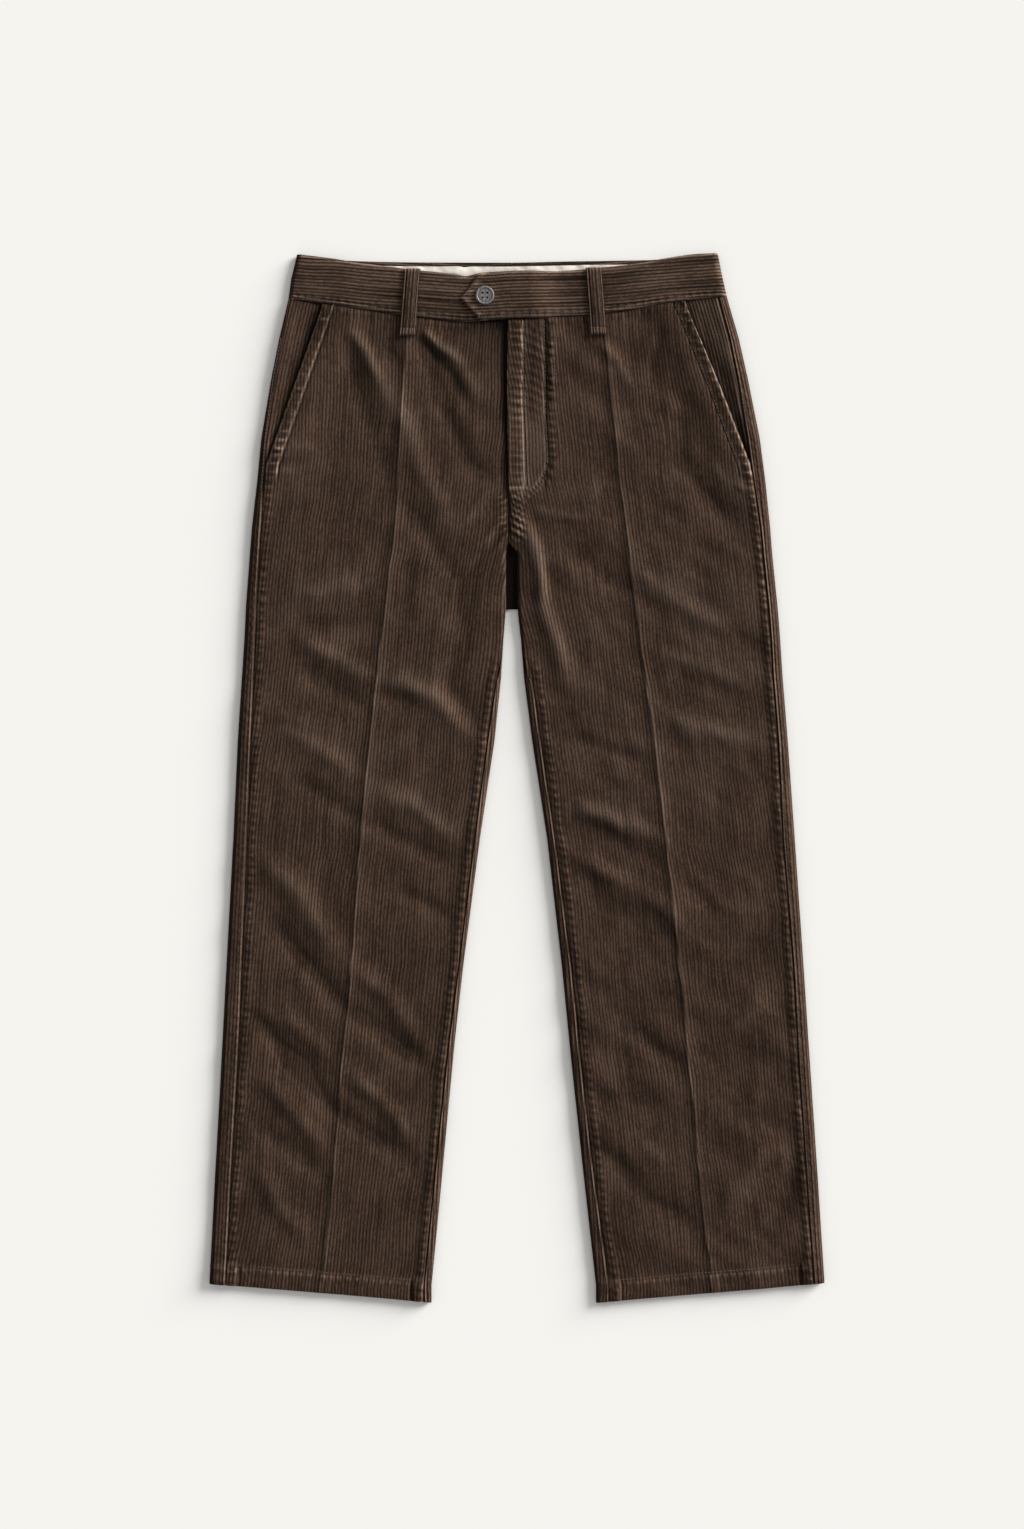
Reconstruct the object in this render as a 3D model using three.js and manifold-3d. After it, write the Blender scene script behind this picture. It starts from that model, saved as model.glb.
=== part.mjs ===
// Corduroy trousers laid flat, fronts up, in millimetres. The underside is at z = 0.
// +Y runs from the hems to the waist, +X to the wearer's left and +Z up through the layers.
// The origin is under the middle of the outline. Left and right are always the wearer's.
import * as THREE from "three";
import { mergeVertices } from "three/addons/utils/BufferGeometryUtils.js";
import Module from "manifold-3d";

const wasm = await Module();
wasm.setup();

// Driving sizes
const cloth = 2.5; // thickness of the corduroy
const facingCloth = 1.8; // thinner layers under the pocket mouth and the fly
const bandThickness = 3; // the waistband is folded double
const liningThickness = 1;
const loopThickness = 1.8;
const seamGap = 0.3; // between two pieces that meet at a seam
const layerGap = 0.3; // between two pieces that lie on each other
const restHeight = 6.8; // top of the front where there is no fold
const lowestHeight = 2 * cloth + 0.4; // the front never comes nearer to the back than this
const highestHeight = 8.8;
const sideRoll = 5.5; // how far the rounded side folds reach in from the outline
const centreBack = -5; // x of the seat seam, under the fly
const crotchTop = 236; // y where the two fronts part
const seatEdge = 170; // y of the lowest edge of the seat between the legs
const hemDepth = 21;
const hemSwell = 0.9; // how much thicker the turned-up hem is
const creaseHeight = 1.1;
const creaseWidth = 9;
const sideRise = 0.7; // how much the cloth lifts towards its side folds
const sideRiseWidth = 18;
const flyStep = { width: 9, over: 0.9, under: -1 }; // the edge of the fly, above and below

// A short table of rows as objects with the named columns
function table(names, rows) {
  const keys = names.split(" ");
  return rows.map((row) => Object.fromEntries(keys.map((key, i) => [key, row[i]])));
}

const clamp = (value, low, high) => Math.min(high, Math.max(low, value));
const mix = (a, b, t) => a + (b - a) * t;

function smooth(low, high, value) {
  const t = clamp((value - low) / (high - low), 0, 1);
  return t * t * (3 - 2 * t);
}

// A smooth curve through one column of a table, with the slopes of a Catmull-Rom spline
function curve(rows, at, key) {
  const points = [...rows].sort((a, b) => a[at] - b[at]);
  const last = points.length - 1;
  const slopes = points.map((p, i) => {
    const before = points[Math.max(i - 1, 0)];
    const after = points[Math.min(i + 1, last)];
    return (after[key] - before[key]) / (after[at] - before[at]);
  });
  return (value) => {
    let i = 0;
    while (i < last - 1 && value > points[i + 1][at]) i += 1;
    const width = points[i + 1][at] - points[i][at];
    const t = clamp((value - points[i][at]) / width, 0, 1);
    const a = points[i][key];
    const b = points[i + 1][key];
    const bend = t * (1 - t) * width;
    return mix(a, b, t * t * (3 - 2 * t)) + bend * (slopes[i] * (1 - t) - slopes[i + 1] * t);
  };
}

// Straight lines between the rows, for edges with corners
function polyline(rows, at, key) {
  const points = [...rows].sort((a, b) => a[at] - b[at]);
  return (value) => {
    let i = 0;
    while (i < points.length - 2 && value > points[i + 1][at]) i += 1;
    const t = clamp((value - points[i][at]) / (points[i + 1][at] - points[i][at]), 0, 1);
    return mix(points[i][key], points[i + 1][key], t);
  };
}

// Outline and side seams of each half, a row for each section across the garment.
// outer and inner are the outline's edges. From the crotch up, inner is the centre front.
const rightSections = table("y outer outseam inseam inner", [
  [525, -220, -217, -9, -9],
  [500, -226, -223, -9, -9],
  [478, -229, -227, -9, -9],
  [440, -238, -234, -9.5, -9.5],
  [400, -246, -242, -10, -10],
  [340, -256, -250, -9.5, -9.5],
  [298, -260, -253, -9, -9],
  [250, -265.5, -256, -8.6, -8.6],
  [236, -266.5, -256.8, -8.4, -8.4],
  [224, -267.5, -257.5, -11, -11],
  [170, -271.5, -260.5, -11, -11],
  [158, -272, -261, -12, -12],
  [138, -273, -262, -14, -16],
  [100, -275.5, -263.5, -21, -17],
  [38, -279.5, -266, -30, -23],
  [-60, -284, -270, -43, -37],
  [-190, -291, -275.5, -59, -54],
  [-266, -295, -278, -69, -62.5],
  [-340, -299, -282.5, -77, -69.5],
  [-420, -303.5, -287, -85, -77],
  [-508, -308, -291.5, -93.5, -85.5],
]);
const leftSections = table("y outer outseam inseam inner", [
  [525, 201, 196, -9, -9],
  [500, 206, 199, -9, -9],
  [478, 211, 202, -9, -9],
  [440, 222, 212, -9.5, -9.5],
  [400, 231, 220, -10, -10],
  [340, 243, 230, -9.5, -9.5],
  [298, 248.5, 236, -9, -9],
  [250, 253.5, 243, -8.6, -8.6],
  [236, 254.5, 244.5, -8.4, -8.4],
  [224, 255.5, 245.5, 0.5, 0.5],
  [170, 261, 251, 0.5, 0.5],
  [158, 262, 252, 1.8, 1.6],
  [138, 263.5, 253.5, 6, 4],
  [100, 266, 255.5, 15, 7],
  [38, 271, 260.5, 23.5, 15],
  [-60, 278, 265.5, 38, 30],
  [-190, 287, 276, 54.5, 45],
  [-281, 293, 281, 63.5, 54],
  [-383, 300, 288, 75, 65],
  [-508, 308, 296.5, 92, 79],
]);
// The pressed crease down each front, from the waistband to the hem
const rightCrease = table("y x", [
  [470, -109], [433, -112], [297, -119], [185, -130], [93, -141], [-23, -153],
  [-176, -165], [-336, -179], [-417, -185], [-512, -197],
]);
const leftCrease = table("y x", [
  [470, 84], [438, 88], [338, 100], [297, 103], [195, 115.6], [93, 130], [-70, 150],
  [-222, 166], [-316, 175], [-441, 187.6], [-512, 195.7],
]);
// The pocket mouth of each half, from the waistband down to the outseam
const rightMouth = table("y x", [[474, -195], [312, -251], [298, -252.7]]);
const leftMouth = table("y x", [[478, 168], [440, 184], [389, 204.6], [314, 233], [298, 235.7]]);
const mouthFoot = 306; // y where the mouth reaches the outseam

// The long edges of the waistband: what lies on top, the back's own top edge, the lower edge
const frontTopEdge = table("x y", [
  [-220, 524], [-187, 520], [-162, 516], [-133, 512], [-99, 508], [-63, 504], [-51, 502],
  [-40, 504.5], [3, 507], [43, 507], [98, 512], [128, 516], [149, 520], [177, 524], [201, 525],
]);
const backTopEdge = table("x y", [
  [-220, 523.5], [-187, 519.5], [-172, 518], [-124, 516.5], [-57, 516], [2, 516], [43, 517],
  [130, 518.5], [149, 519.7], [177, 523.5], [201, 524.5],
]);
const lowerEdge = table("x y", [
  [-229, 479], [-196, 474.5], [-116, 463], [-55, 456], [-37, 457], [-11, 459], [29, 460.5],
  [91, 465], [157, 476], [211, 482],
]);
// Both legs end on a slanting hem
const rightHem = table("x y", [[-308, -506], [-257, -510], [-197, -515], [-137, -520], [-85, -525]]);
const leftHem = table("x y", [[80, -525], [123, -521], [183, -516], [243, -511], [308, -505]]);

// Soft ridges and troughs of the fronts. Each runs through two to four points.
const folds = table("height width path", [
  [1.0, 11, [[-172, 453], [-142, 408], [-117, 358], [-67, 248]]],
  [-0.8, 10, [[-177, 448], [-162, 398], [-142, 338], [-129, 298]]],
  [0.9, 11, [[-97, 446], [-67, 423], [-37, 378]]],
  [-0.8, 11, [[-102, 448], [-82, 388], [-52, 318], [-22, 293]]],
  [0.7, 10, [[-247, 323], [-217, 323]]],
  [-0.8, 12, [[-117, 278], [-57, 193]]],
  [-1.4, 13, [[-17, 238], [-47, 198], [-67, 88], [-47, 63]]],
  [0.8, 11, [[-217, 183], [-152, 193]]],
  [-0.8, 10, [[-217, 153], [-142, 153]]],
  [1.0, 11, [[-217, 138], [-147, 98]]],
  [1.1, 12, [[-132, 108], [-87, 83], [-47, 43]]],
  [-0.9, 11, [[-217, 108], [-152, 68]]],
  [0.8, 11, [[-232, 48], [-167, 8]]],
  [-0.9, 11, [[-222, -2], [-157, -42]]],
  [1.0, 11, [[-142, -17], [-107, -27], [-67, -57]]],
  [-1.0, 11, [[-147, -42], [-117, -62], [-67, -87]]],
  [-0.8, 10, [[-117, -112], [-72, -137]]],
  [1.5, 13, [[-252, -82], [-217, -117], [-177, -187]]],
  [-1.2, 12, [[-242, -147], [-207, -192], [-172, -232], [-87, -292]]],
  [1.1, 12, [[-167, -187], [-127, -222], [-92, -272]]],
  [1.0, 11, [[-232, -237], [-187, -282]]],
  [1.1, 11, [[-167, -297], [-127, -332], [-102, -367]]],
  [-1.2, 12, [[-262, -237], [-222, -287], [-182, -337], [-102, -387]]],
  [1.2, 12, [[-252, -302], [-217, -342], [-192, -372]]],
  [-1.0, 11, [[-267, -342], [-202, -392]]],
  [1.0, 11, [[-257, -392], [-237, -432], [-212, -457]]],
  [1.7, 13, [[8, 250], [33, 163], [53, 98]]],
  [-1.0, 12, [[43, 228], [113, 183]]],
  [1.0, 12, [[118, 203], [143, 188], [208, 148]]],
  [-1.0, 12, [[163, 368], [158, 323], [183, 288], [228, 238]]],
  [0.8, 10, [[226, 303], [236, 258]]],
  [0.7, 12, [[83, 298], [33, 278]]],
  [1.0, 12, [[148, 123], [228, 93]]],
  [1.0, 12, [[148, 58], [238, 33]]],
  [-0.9, 11, [[53, 38], [123, 18]]],
  [1.1, 11, [[53, -32], [108, -42], [138, -67]]],
  [-1.0, 11, [[53, -47], [153, -92]]],
  [1.1, 11, [[53, -77], [113, -107], [148, -132], [183, -172]]],
  [-1.0, 11, [[58, -87], [83, -122], [133, -152]]],
  [-0.7, 10, [[168, -102], [193, -127]]],
  [-1.2, 13, [[258, -162], [208, -192], [113, -237]]],
  [1.3, 13, [[253, -212], [198, -267]]],
  [-0.9, 11, [[103, -242], [163, -287]]],
  [0.8, 14, [[123, -182], [143, -192]]],
  [1.1, 12, [[248, -362], [223, -412], [203, -442]]],
  [-1.1, 12, [[278, -362], [268, -432], [233, -467]]],
  [-1.0, 12, [[93, -382], [133, -422], [183, -452]]],
]);

// How near a point is to a fold: 1 on its line, fading across its width and past its ends
function nearness(path, width, x, y) {
  let best = Infinity;
  for (let i = 0; i + 1 < path.length; i += 1) {
    const [ax, ay] = path[i];
    const dx = path[i + 1][0] - ax;
    const dy = path[i + 1][1] - ay;
    const t = clamp(((x - ax) * dx + (y - ay) * dy) / (dx * dx + dy * dy), 0, 1);
    best = Math.min(best, Math.hypot(x - ax - t * dx, y - ay - t * dy));
  }
  return Math.exp(-((best / width) ** 2));
}

function makeHalf(side, sections, crease, mouth, hem) {
  const half = { side, crease: curve(crease, "y", "x"), mouth: polyline(mouth, "y", "x") };
  for (const key of ["outer", "outseam", "inseam", "inner"]) half[key] = polyline(sections, "y", key);
  half.hem = curve(hem, "x", "y");
  return half;
}

const right = makeHalf(-1, rightSections, rightCrease, rightMouth, rightHem);
const left = makeHalf(1, leftSections, leftCrease, leftMouth, leftHem);
const bandLower = curve(lowerEdge, "x", "y");
const bandFrontTop = curve(frontTopEdge, "x", "y");
const bandBackTop = curve(backTopEdge, "x", "y");

// Height of the cloth's upper face at a point of one half
function topHeight(half, x, y) {
  let height = restHeight;
  for (const fold of folds) height += fold.height * nearness(fold.path, fold.width, x, y);
  const fromCrease = Math.abs(x - half.crease(y)) / creaseWidth;
  height += creaseHeight * smooth(470, 430, y) * Math.exp(-(fromCrease ** 2));
  const fromSide = (half.outer(y) - x) * half.side;
  height += sideRise * Math.exp(-((fromSide / sideRiseWidth) ** 2));
  return clamp(height, lowestHeight, highestHeight);
}

// The fronts lie higher along the pocket mouth, where the pocket's own layers are under them
const mouthHeight = 8.2;
function mouthLift(half, x, y) {
  const inside = (half.mouth(y) - x) * half.side;
  return (1 - smooth(18, 48, inside)) * smooth(258, mouthFoot - 10, y);
}

// The left front lies over the fly's underlap and ends on the centre front as a raised edge
const flyFoot = 288;
const underlap = { from: -8.3, to: 28, foot: 292, top: 452 };
const flyHeight = 7.9;
function flyLift(x, y) {
  return (1 - smooth(underlap.to + 3, underlap.to + 30, x)) * smooth(flyFoot - 46, flyFoot - 4, y);
}

function frontHeight(half, x, y) {
  let height = topHeight(half, x, y);
  height = mix(height, Math.max(height, mouthHeight), mouthLift(half, x, y));
  const fromFly = (x - half.inner(y)) / flyStep.width;
  const nearFly = Math.exp(-(fromFly ** 2)) * smooth(flyFoot - 20, flyFoot + 20, y);
  if (half.side > 0) {
    height = mix(height, Math.max(height, flyHeight), flyLift(x, y)) + flyStep.over * nearFly;
  } else {
    height += flyStep.under * nearFly;
  }
  const aboveHem = y - half.hem(x);
  height += hemSwell * (1 - smooth(hemDepth - 2, hemDepth + 4, aboveHem));
  return clamp(height, lowestHeight, highestHeight);
}

// A closed wall from two matching grids of points, outer and inner, each a list of rows
function wall(outer, inner) {
  const rows = outer.length;
  const columns = outer[0].length;
  const positions = [...outer.flat(), ...inner.flat()].flat();
  const indices = [];
  const outerAt = (i, j) => i * columns + j;
  const innerAt = (i, j) => rows * columns + i * columns + j;
  const quad = (a, b, c, d) => indices.push(a, b, c, a, c, d);
  for (let i = 0; i + 1 < rows; i += 1) {
    for (let j = 0; j + 1 < columns; j += 1) {
      quad(outerAt(i, j), outerAt(i, j + 1), outerAt(i + 1, j + 1), outerAt(i + 1, j));
      quad(innerAt(i, j), innerAt(i + 1, j), innerAt(i + 1, j + 1), innerAt(i, j + 1));
    }
    const end = columns - 1;
    quad(outerAt(i, 0), outerAt(i + 1, 0), innerAt(i + 1, 0), innerAt(i, 0));
    quad(outerAt(i + 1, end), outerAt(i, end), innerAt(i, end), innerAt(i + 1, end));
  }
  for (let j = 0; j + 1 < columns; j += 1) {
    const end = rows - 1;
    quad(outerAt(0, j + 1), outerAt(0, j), innerAt(0, j), innerAt(0, j + 1));
    quad(outerAt(end, j), outerAt(end, j + 1), innerAt(end, j + 1), innerAt(end, j));
  }
  const geometry = new THREE.BufferGeometry();
  geometry.setAttribute("position", new THREE.Float32BufferAttribute(positions, 3));
  geometry.setIndex(indices);
  return facingOut(geometry);
}

// The same geometry with its faces turned out, found from the sign of its volume
function facingOut(geometry) {
  const p = geometry.getAttribute("position");
  const index = geometry.getIndex().array;
  const corner = (k) => new THREE.Vector3().fromBufferAttribute(p, index[k]);
  let volume = 0;
  for (let k = 0; k < index.length; k += 3) {
    volume += corner(k).dot(corner(k + 1).cross(corner(k + 2)));
  }
  if (volume < 0) {
    for (let k = 0; k < index.length; k += 3) {
      [index[k + 1], index[k + 2]] = [index[k + 2], index[k + 1]];
    }
  }
  return geometry;
}

// The same geometry with only its positions, and shared vertices merged
function merged(geometry) {
  const bare = geometry.clone();
  for (const name of ["normal", "uv"]) bare.deleteAttribute(name);
  return mergeVertices(bare, 1e-3);
}

function toSolid(geometry) {
  const shape = merged(geometry);
  return new wasm.Manifold(
    new wasm.Mesh({
      numProp: 3,
      vertProperties: new Float32Array(shape.getAttribute("position").array),
      triVerts: new Uint32Array(shape.getIndex().array),
    }),
  );
}

function toGeometry(solid) {
  const mesh = solid.getMesh();
  const geometry = new THREE.BufferGeometry();
  geometry.setAttribute("position", new THREE.BufferAttribute(mesh.vertProperties, 3));
  geometry.setIndex(new THREE.BufferAttribute(mesh.triVerts, 1));
  return geometry;
}

const steps = (count) => Array.from({ length: count + 1 }, (_, i) => i / count);

// Rows run from the waistband (0) to the hem (1), closer together round the crotch and pockets
const rowLevels = [
  467, 448, 424, 398, 370, 342, 318, 306, 294, 272, 252, 244, 234, 224, 200, 173, 167, 156, 144,
  130, 118, 106, 80, 52, 24, -6, -36, -66, -96, -126, -156, -186, -216, -246, -276, -306, -336,
  -366, -396, -426, -456, -480, -492.5, -515,
];
const rowParts = rowLevels.map((y) => (rowLevels[0] - y) / (rowLevels[0] - rowLevels.at(-1)));

// The real y of a point in a row: the rows bend to the waistband's lower edge and to the hem
function rowY(half, part, x) {
  const top = bandLower(x) - seamGap;
  return mix(top, half.hem(x), part);
}

// Where on the inner fold the inseam lies, from the underside (-90) over the side (0) to the top (90)
const inseamTurn = polyline(
  table("y angle", [[236, -90], [171, -88], [158, -35], [140, 20], [109, 89]]), "y", "angle",
);
const onTop = 89; // from this angle on, the inseam lies on the upper face
const innerReach = 3.5; // how far the inner fold reaches in from the outline
const innerHollow = { set: 2, reach: 1.5 }; // the inside of that fold
const seamAngle = 14; // half the gap at the inseam while it runs over the fold

// x and z on the rounded outer or inner fold of a leg, turned by an angle from its side
function foldPoint(edge, side, reach, low, high, angle) {
  const turn = THREE.MathUtils.degToRad(angle);
  const middle = (low + high) / 2;
  const rise = (high - low) / 2;
  return [edge - side * (reach - reach * Math.cos(turn)), middle + rise * Math.sin(turn)];
}

const foldCells = 3;
const creaseCells = 8; // from the inner edge to the crease
const outsideCells = 6; // from the crease to the mouth or outseam

// A front panel: from the centre front or inseam over the crease to the pocket mouth or outseam
function frontPanel(half) {
  const outer = [];
  const inner = [];
  for (const part of rowParts) {
    const level = mix(rowLevels[0], rowLevels.at(-1), part);
    const turn = level < crotchTop ? inseamTurn(level) : 90;
    const wraps = turn < onTop;
    const skin = [];
    const inside = [];
    const innerY = rowY(half, part, half.inner(level));
    const edge = half.inner(innerY);
    let start = (level < crotchTop ? half.inseam(innerY) : edge) + half.side * (seamGap / 2);
    let flatCells = creaseCells;
    if (wraps) {
      // The cloth turns down along the inner fold, onto the seat or round to the inseam
      start = edge + half.side * innerReach;
      flatCells -= foldCells;
      const foot = (cloth + layerGap) * smooth(150, seatEdge, level);
      const high = frontHeight(half, start, rowY(half, part, start));
      const hollowEdge = edge + half.side * innerHollow.set;
      const middle = (foot + high) / 2;
      const hollowLow = Math.min(foot + cloth * 0.8, middle - 0.1);
      const hollowHigh = Math.max(high - cloth, middle + 0.1);
      for (const t of steps(foldCells).slice(0, -1)) {
        const angle = mix(turn + seamAngle, 90, t);
        const [x, z] = foldPoint(edge, -half.side, innerReach, foot, high, angle);
        const [ix, iz] = foldPoint(
          hollowEdge, -half.side, innerHollow.reach, hollowLow, hollowHigh, angle,
        );
        skin.push([x, rowY(half, part, x), z]);
        inside.push([ix, rowY(half, part, ix), iz]);
      }
    }
    const creaseX = half.crease(level);
    const endX = outerLimit(half, rowY(half, part, half.outseam(level)));
    const columns = [
      ...steps(flatCells).map((t) => mix(start, creaseX, t)),
      ...steps(outsideCells).slice(1).map((t) => mix(creaseX, endX, t)),
    ];
    for (const x of columns) {
      const y = rowY(half, part, x);
      const z = frontHeight(half, x, y);
      skin.push([x, y, z]);
      inside.push([x, y, z - cloth]);
    }
    outer.push(skin);
    inner.push(inside);
  }
  return wall(outer, inner);
}

// The outer edge of the front: the pocket mouth, or below it the outseam
function outerLimit(half, y) {
  const gap = half.side * (seamGap / 2);
  if (y > mouthFoot) return half.mouth(y);
  return half.outseam(y) - gap;
}

// A back panel: a strip beside the outseam, the outer fold, the flat underside, the inner fold
const stripCells = 2;
const outerFoldAngles = [90, 50, 18, -18, -50, -90];
const innerFoldCells = 4;

// x where the flat underside of a back ends and its run to the seat seam begins
const seatFrom = (half, level) => half.inner(level) + half.side * innerReach * 2;

function backPanel(half) {
  const outer = [];
  const inner = [];
  for (const part of rowParts) {
    const level = mix(rowLevels[0], rowLevels.at(-1), part);
    const skin = [];
    const inside = [];
    const push = (x, z, ix, iz) => {
      skin.push([x, rowY(half, part, x), z]);
      inside.push([ix, rowY(half, part, ix), iz]);
    };
    const y = rowY(half, part, half.outer(level));
    const edge = half.outer(y);
    const seamY = rowY(half, part, half.outseam(level));
    const seam = half.outseam(seamY) + half.side * (seamGap / 2);
    const reach = Math.min(sideRoll, (edge - seam) * half.side - 0.4);
    const tangent = edge - half.side * reach;
    const high = backStripHeight(half, tangent, y);
    for (const t of steps(stripCells).slice(0, -1)) {
      const x = mix(seam, tangent, t);
      const z = backStripHeight(half, x, rowY(half, part, x));
      push(x, z, x, z - cloth);
    }
    const thickness = Math.min(cloth, reach * 0.85);
    const hollow = edge - half.side * thickness;
    for (const angle of outerFoldAngles) {
      const [x, z] = foldPoint(edge, half.side, reach, 0, high, angle);
      const [ix, iz] = foldPoint(hollow, half.side, reach - thickness, cloth, high - cloth, angle);
      push(x, z, ix, iz);
    }
    if (level > seatEdge) {
      const end = centreBack + half.side * (seamGap / 2);
      for (const t of steps(innerFoldCells)) {
        const x = mix(seatFrom(half, level), end, t);
        push(x, 0, x, cloth);
      }
    } else {
      const innerY = rowY(half, part, half.inner(level));
      const innerEdge = half.inner(innerY);
      const hollowEdge = innerEdge + half.side * innerHollow.set;
      const start = innerEdge + half.side * innerReach;
      const top = frontHeight(half, start, innerY);
      const turn = inseamTurn(level);
      const wraps = turn < onTop;
      const last = wraps ? turn - seamAngle : 90;
      for (const t of steps(wraps ? innerFoldCells : innerFoldCells - 1)) {
        const angle = mix(-90, last, t);
        const [x, z] = foldPoint(innerEdge, -half.side, innerReach, 0, top, angle);
        const [ix, iz] = foldPoint(
          hollowEdge, -half.side, innerHollow.reach, cloth, top - cloth, angle,
        );
        push(x, z, ix, iz);
      }
      if (!wraps) {
        const x = half.inseam(rowY(half, part, half.inseam(level))) - half.side * (seamGap / 2);
        const z = frontHeight(half, x, rowY(half, part, x));
        push(x, z, x, z - cloth);
      }
    }
    outer.push(skin);
    inner.push(inside);
  }
  return wall(outer, inner);
}

// The strip of back cloth that shows beside the outseam, with its own turned-up hem
function backStripHeight(half, x, y) {
  const aboveHem = y - half.hem(x);
  const swell = hemSwell * (1 - smooth(hemDepth - 2, hemDepth + 4, aboveHem));
  return clamp(topHeight(half, x, y) + swell, lowestHeight, highestHeight);
}

// The pocket facing: shows between the mouth and the outseam, and runs on under the front
const facingTuck = 15;
const facingRows = [0, 0.09, 0.2, 0.32, 0.44, 0.56, 0.68, 0.8, 0.91, 1];
const facingColumns = [0, 0.3, 0.6, 0.85, 1];
const facingFoot = 312;

function pocketFacing(half) {
  const outer = [];
  const inner = [];
  const low = mouthHeight - cloth - 0.7; // just under the front's edge
  for (const part of facingRows) {
    const top = [];
    const under = [];
    const level = mix(467, facingFoot, part);
    const seamX = half.outseam(mix(bandLower(half.outseam(level)), facingFoot, part));
    const seam = seamX - half.side * (seamGap / 2);
    const mouth = half.mouth(level);
    const xs = [
      ...facingColumns.map((t) => mix(seam, mouth, t)),
      mouth - half.side * facingTuck,
    ];
    xs.forEach((x, k) => {
      const y = mix(bandLower(x) - 2 * seamGap, facingFoot, part);
      const shown = clamp((x - half.mouth(y)) / (half.outseam(y) - half.mouth(y)), 0, 1);
      const z = mix(low, backStripHeight(half, x, y), k === 0 ? 1 : smooth(0.15, 1, shown));
      top.push([x, y, z]);
      under.push([x, y, z - facingCloth]);
    });
    outer.push(top);
    inner.push(under);
  }
  return wall(outer, inner);
}

// The fly's underlap: a flat strip under the left front, from the right front's edge
function flyUnderlap() {
  const outer = [];
  const inner = [];
  for (const part of steps(4)) {
    const y = mix(underlap.top, underlap.foot, part);
    const end = mix(underlap.to, underlap.to - 14, part ** 3);
    const row = steps(2).map((t) => mix(underlap.from, end, t));
    inner.push(row.map((x) => [x, y, cloth + layerGap]));
    outer.push(row.map((x) => [x, y, cloth + layerGap + facingCloth]));
  }
  return wall(outer, inner);
}

// Levels through the waistband, from the floor up
const liningLow = bandThickness + layerGap;
const bandLow = liningLow + liningThickness + layerGap;
const tabLow = bandLow + bandThickness + layerGap;
const bandEnd = -6; // x where the right half ends, under the tab
const tab = { point: -57, corner: -38, root: 12, flat: 45 };
const bandRows = [0, 0.12, 0.5, 0.88, 1];
const bandSwell = (v) => 0.5 * Math.sin(Math.PI * v) ** 0.5 - 0.5;

// One half of the waistband: the front length, the side fold, and the back length under it
function waistbandHalf(half, frontCells, frontEnd, lowLevel) {
  const outer = [];
  const inner = [];
  const reach = sideRoll;
  const backCells = 6;
  const seamEnd = centreBack + half.side * (seamGap / 2);
  const flatEnd = seatFrom(half, rowLevels[0]);
  const flatStart = half.outer(rowY(half, 0, half.outer(rowLevels[0]))) - half.side * reach;
  const backLower = (x) => {
    const t = clamp((x - flatStart) / (flatEnd - flatStart), 0, 1);
    return t < 1 ? mix(bandLower(flatStart), bandLower(flatEnd), t) : bandLower(x);
  };
  for (const v of bandRows) {
    const skin = [];
    const inside = [];
    const sideY = mix(bandLower(half.outer(478)), bandFrontTop(half.outer(525)), v);
    const edge = half.outer(sideY);
    const tangent = edge - half.side * reach;
    const swell = bandThickness + bandSwell(v);
    const end = frontEnd(v);
    for (const t of steps(frontCells)) {
      const x = mix(end, tangent, t);
      const y = mix(bandLower(x), bandFrontTop(x), v);
      skin.push([x, y, lowLevel(x) + swell]);
      inside.push([x, y, lowLevel(x)]);
    }
    const high = bandLow + swell;
    const hollow = edge - half.side * bandThickness;
    for (const angle of outerFoldAngles.slice(1, -1)) {
      const [x, z] = foldPoint(edge, half.side, reach, 0, high, angle);
      const [ix, iz] = foldPoint(hollow, half.side, reach - bandThickness, bandThickness, bandLow, angle);
      const topEdge = mix(bandFrontTop(x), bandBackTop(x), (90 - angle) / 180);
      const y = mix(bandLower(x), topEdge, v);
      skin.push([x, y, z]);
      inside.push([ix, y, iz]);
    }
    const backColumns = [...steps(backCells).map((t) => mix(tangent, flatEnd, t)), seamEnd];
    for (const x of backColumns) {
      const y = mix(backLower(x), bandBackTop(x), v);
      skin.push([x, y, 0]);
      inside.push([x, y, bandThickness]);
    }
    outer.push(skin);
    inner.push(inside);
  }
  return wall(outer, inner);
}

// The buttonhole is a slot through the pointed tab, and the button's shank stands in it
const button = { x: -32, y: 482, radius: 9.35, rim: 1.5, height: 2.6, holeRadius: 0.85, holePitch: 4.4 };
const slot = { from: -35, to: -11, width: 2.2 };
const shank = { length: 5, width: 1.4 };

function waistbandLeft() {
  const frontEnd = (v) => {
    const fromMiddle = Math.abs(v - 0.5) * 2;
    return mix(tab.point, tab.corner, fromMiddle);
  };
  const lowLevel = (x) => mix(tabLow, bandLow, smooth(tab.root, tab.flat, x));
  const band = toSolid(waistbandHalf(left, 14, frontEnd, lowLevel));
  const cutter = new THREE.BoxGeometry(slot.to - slot.from, slot.width, 12);
  cutter.translate((slot.from + slot.to) / 2, button.y, tabLow + 5);
  return toGeometry(band.subtract(toSolid(cutter)));
}

function waistbandRight() {
  return waistbandHalf(right, 9, () => bandEnd, () => bandLow);
}

// The cream lining inside the back waistband, which shows above the front's top edge
function waistbandLining() {
  const outer = [];
  const inner = [];
  const reach = { from: -190, to: 150 };
  for (const v of [0, 0.4, 0.8, 1]) {
    const row = steps(17).map((t) => {
      const x = mix(reach.from, reach.to, t);
      const top = Math.min(bandBackTop(x) - 3.5, bandFrontTop(x) + 9);
      return [x, mix(bandLower(x) + 2, top, v), liningLow];
    });
    inner.push(row);
    outer.push(row.map(([x, y, z]) => [x, y, z + liningThickness]));
  }
  return wall(outer, inner);
}

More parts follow.
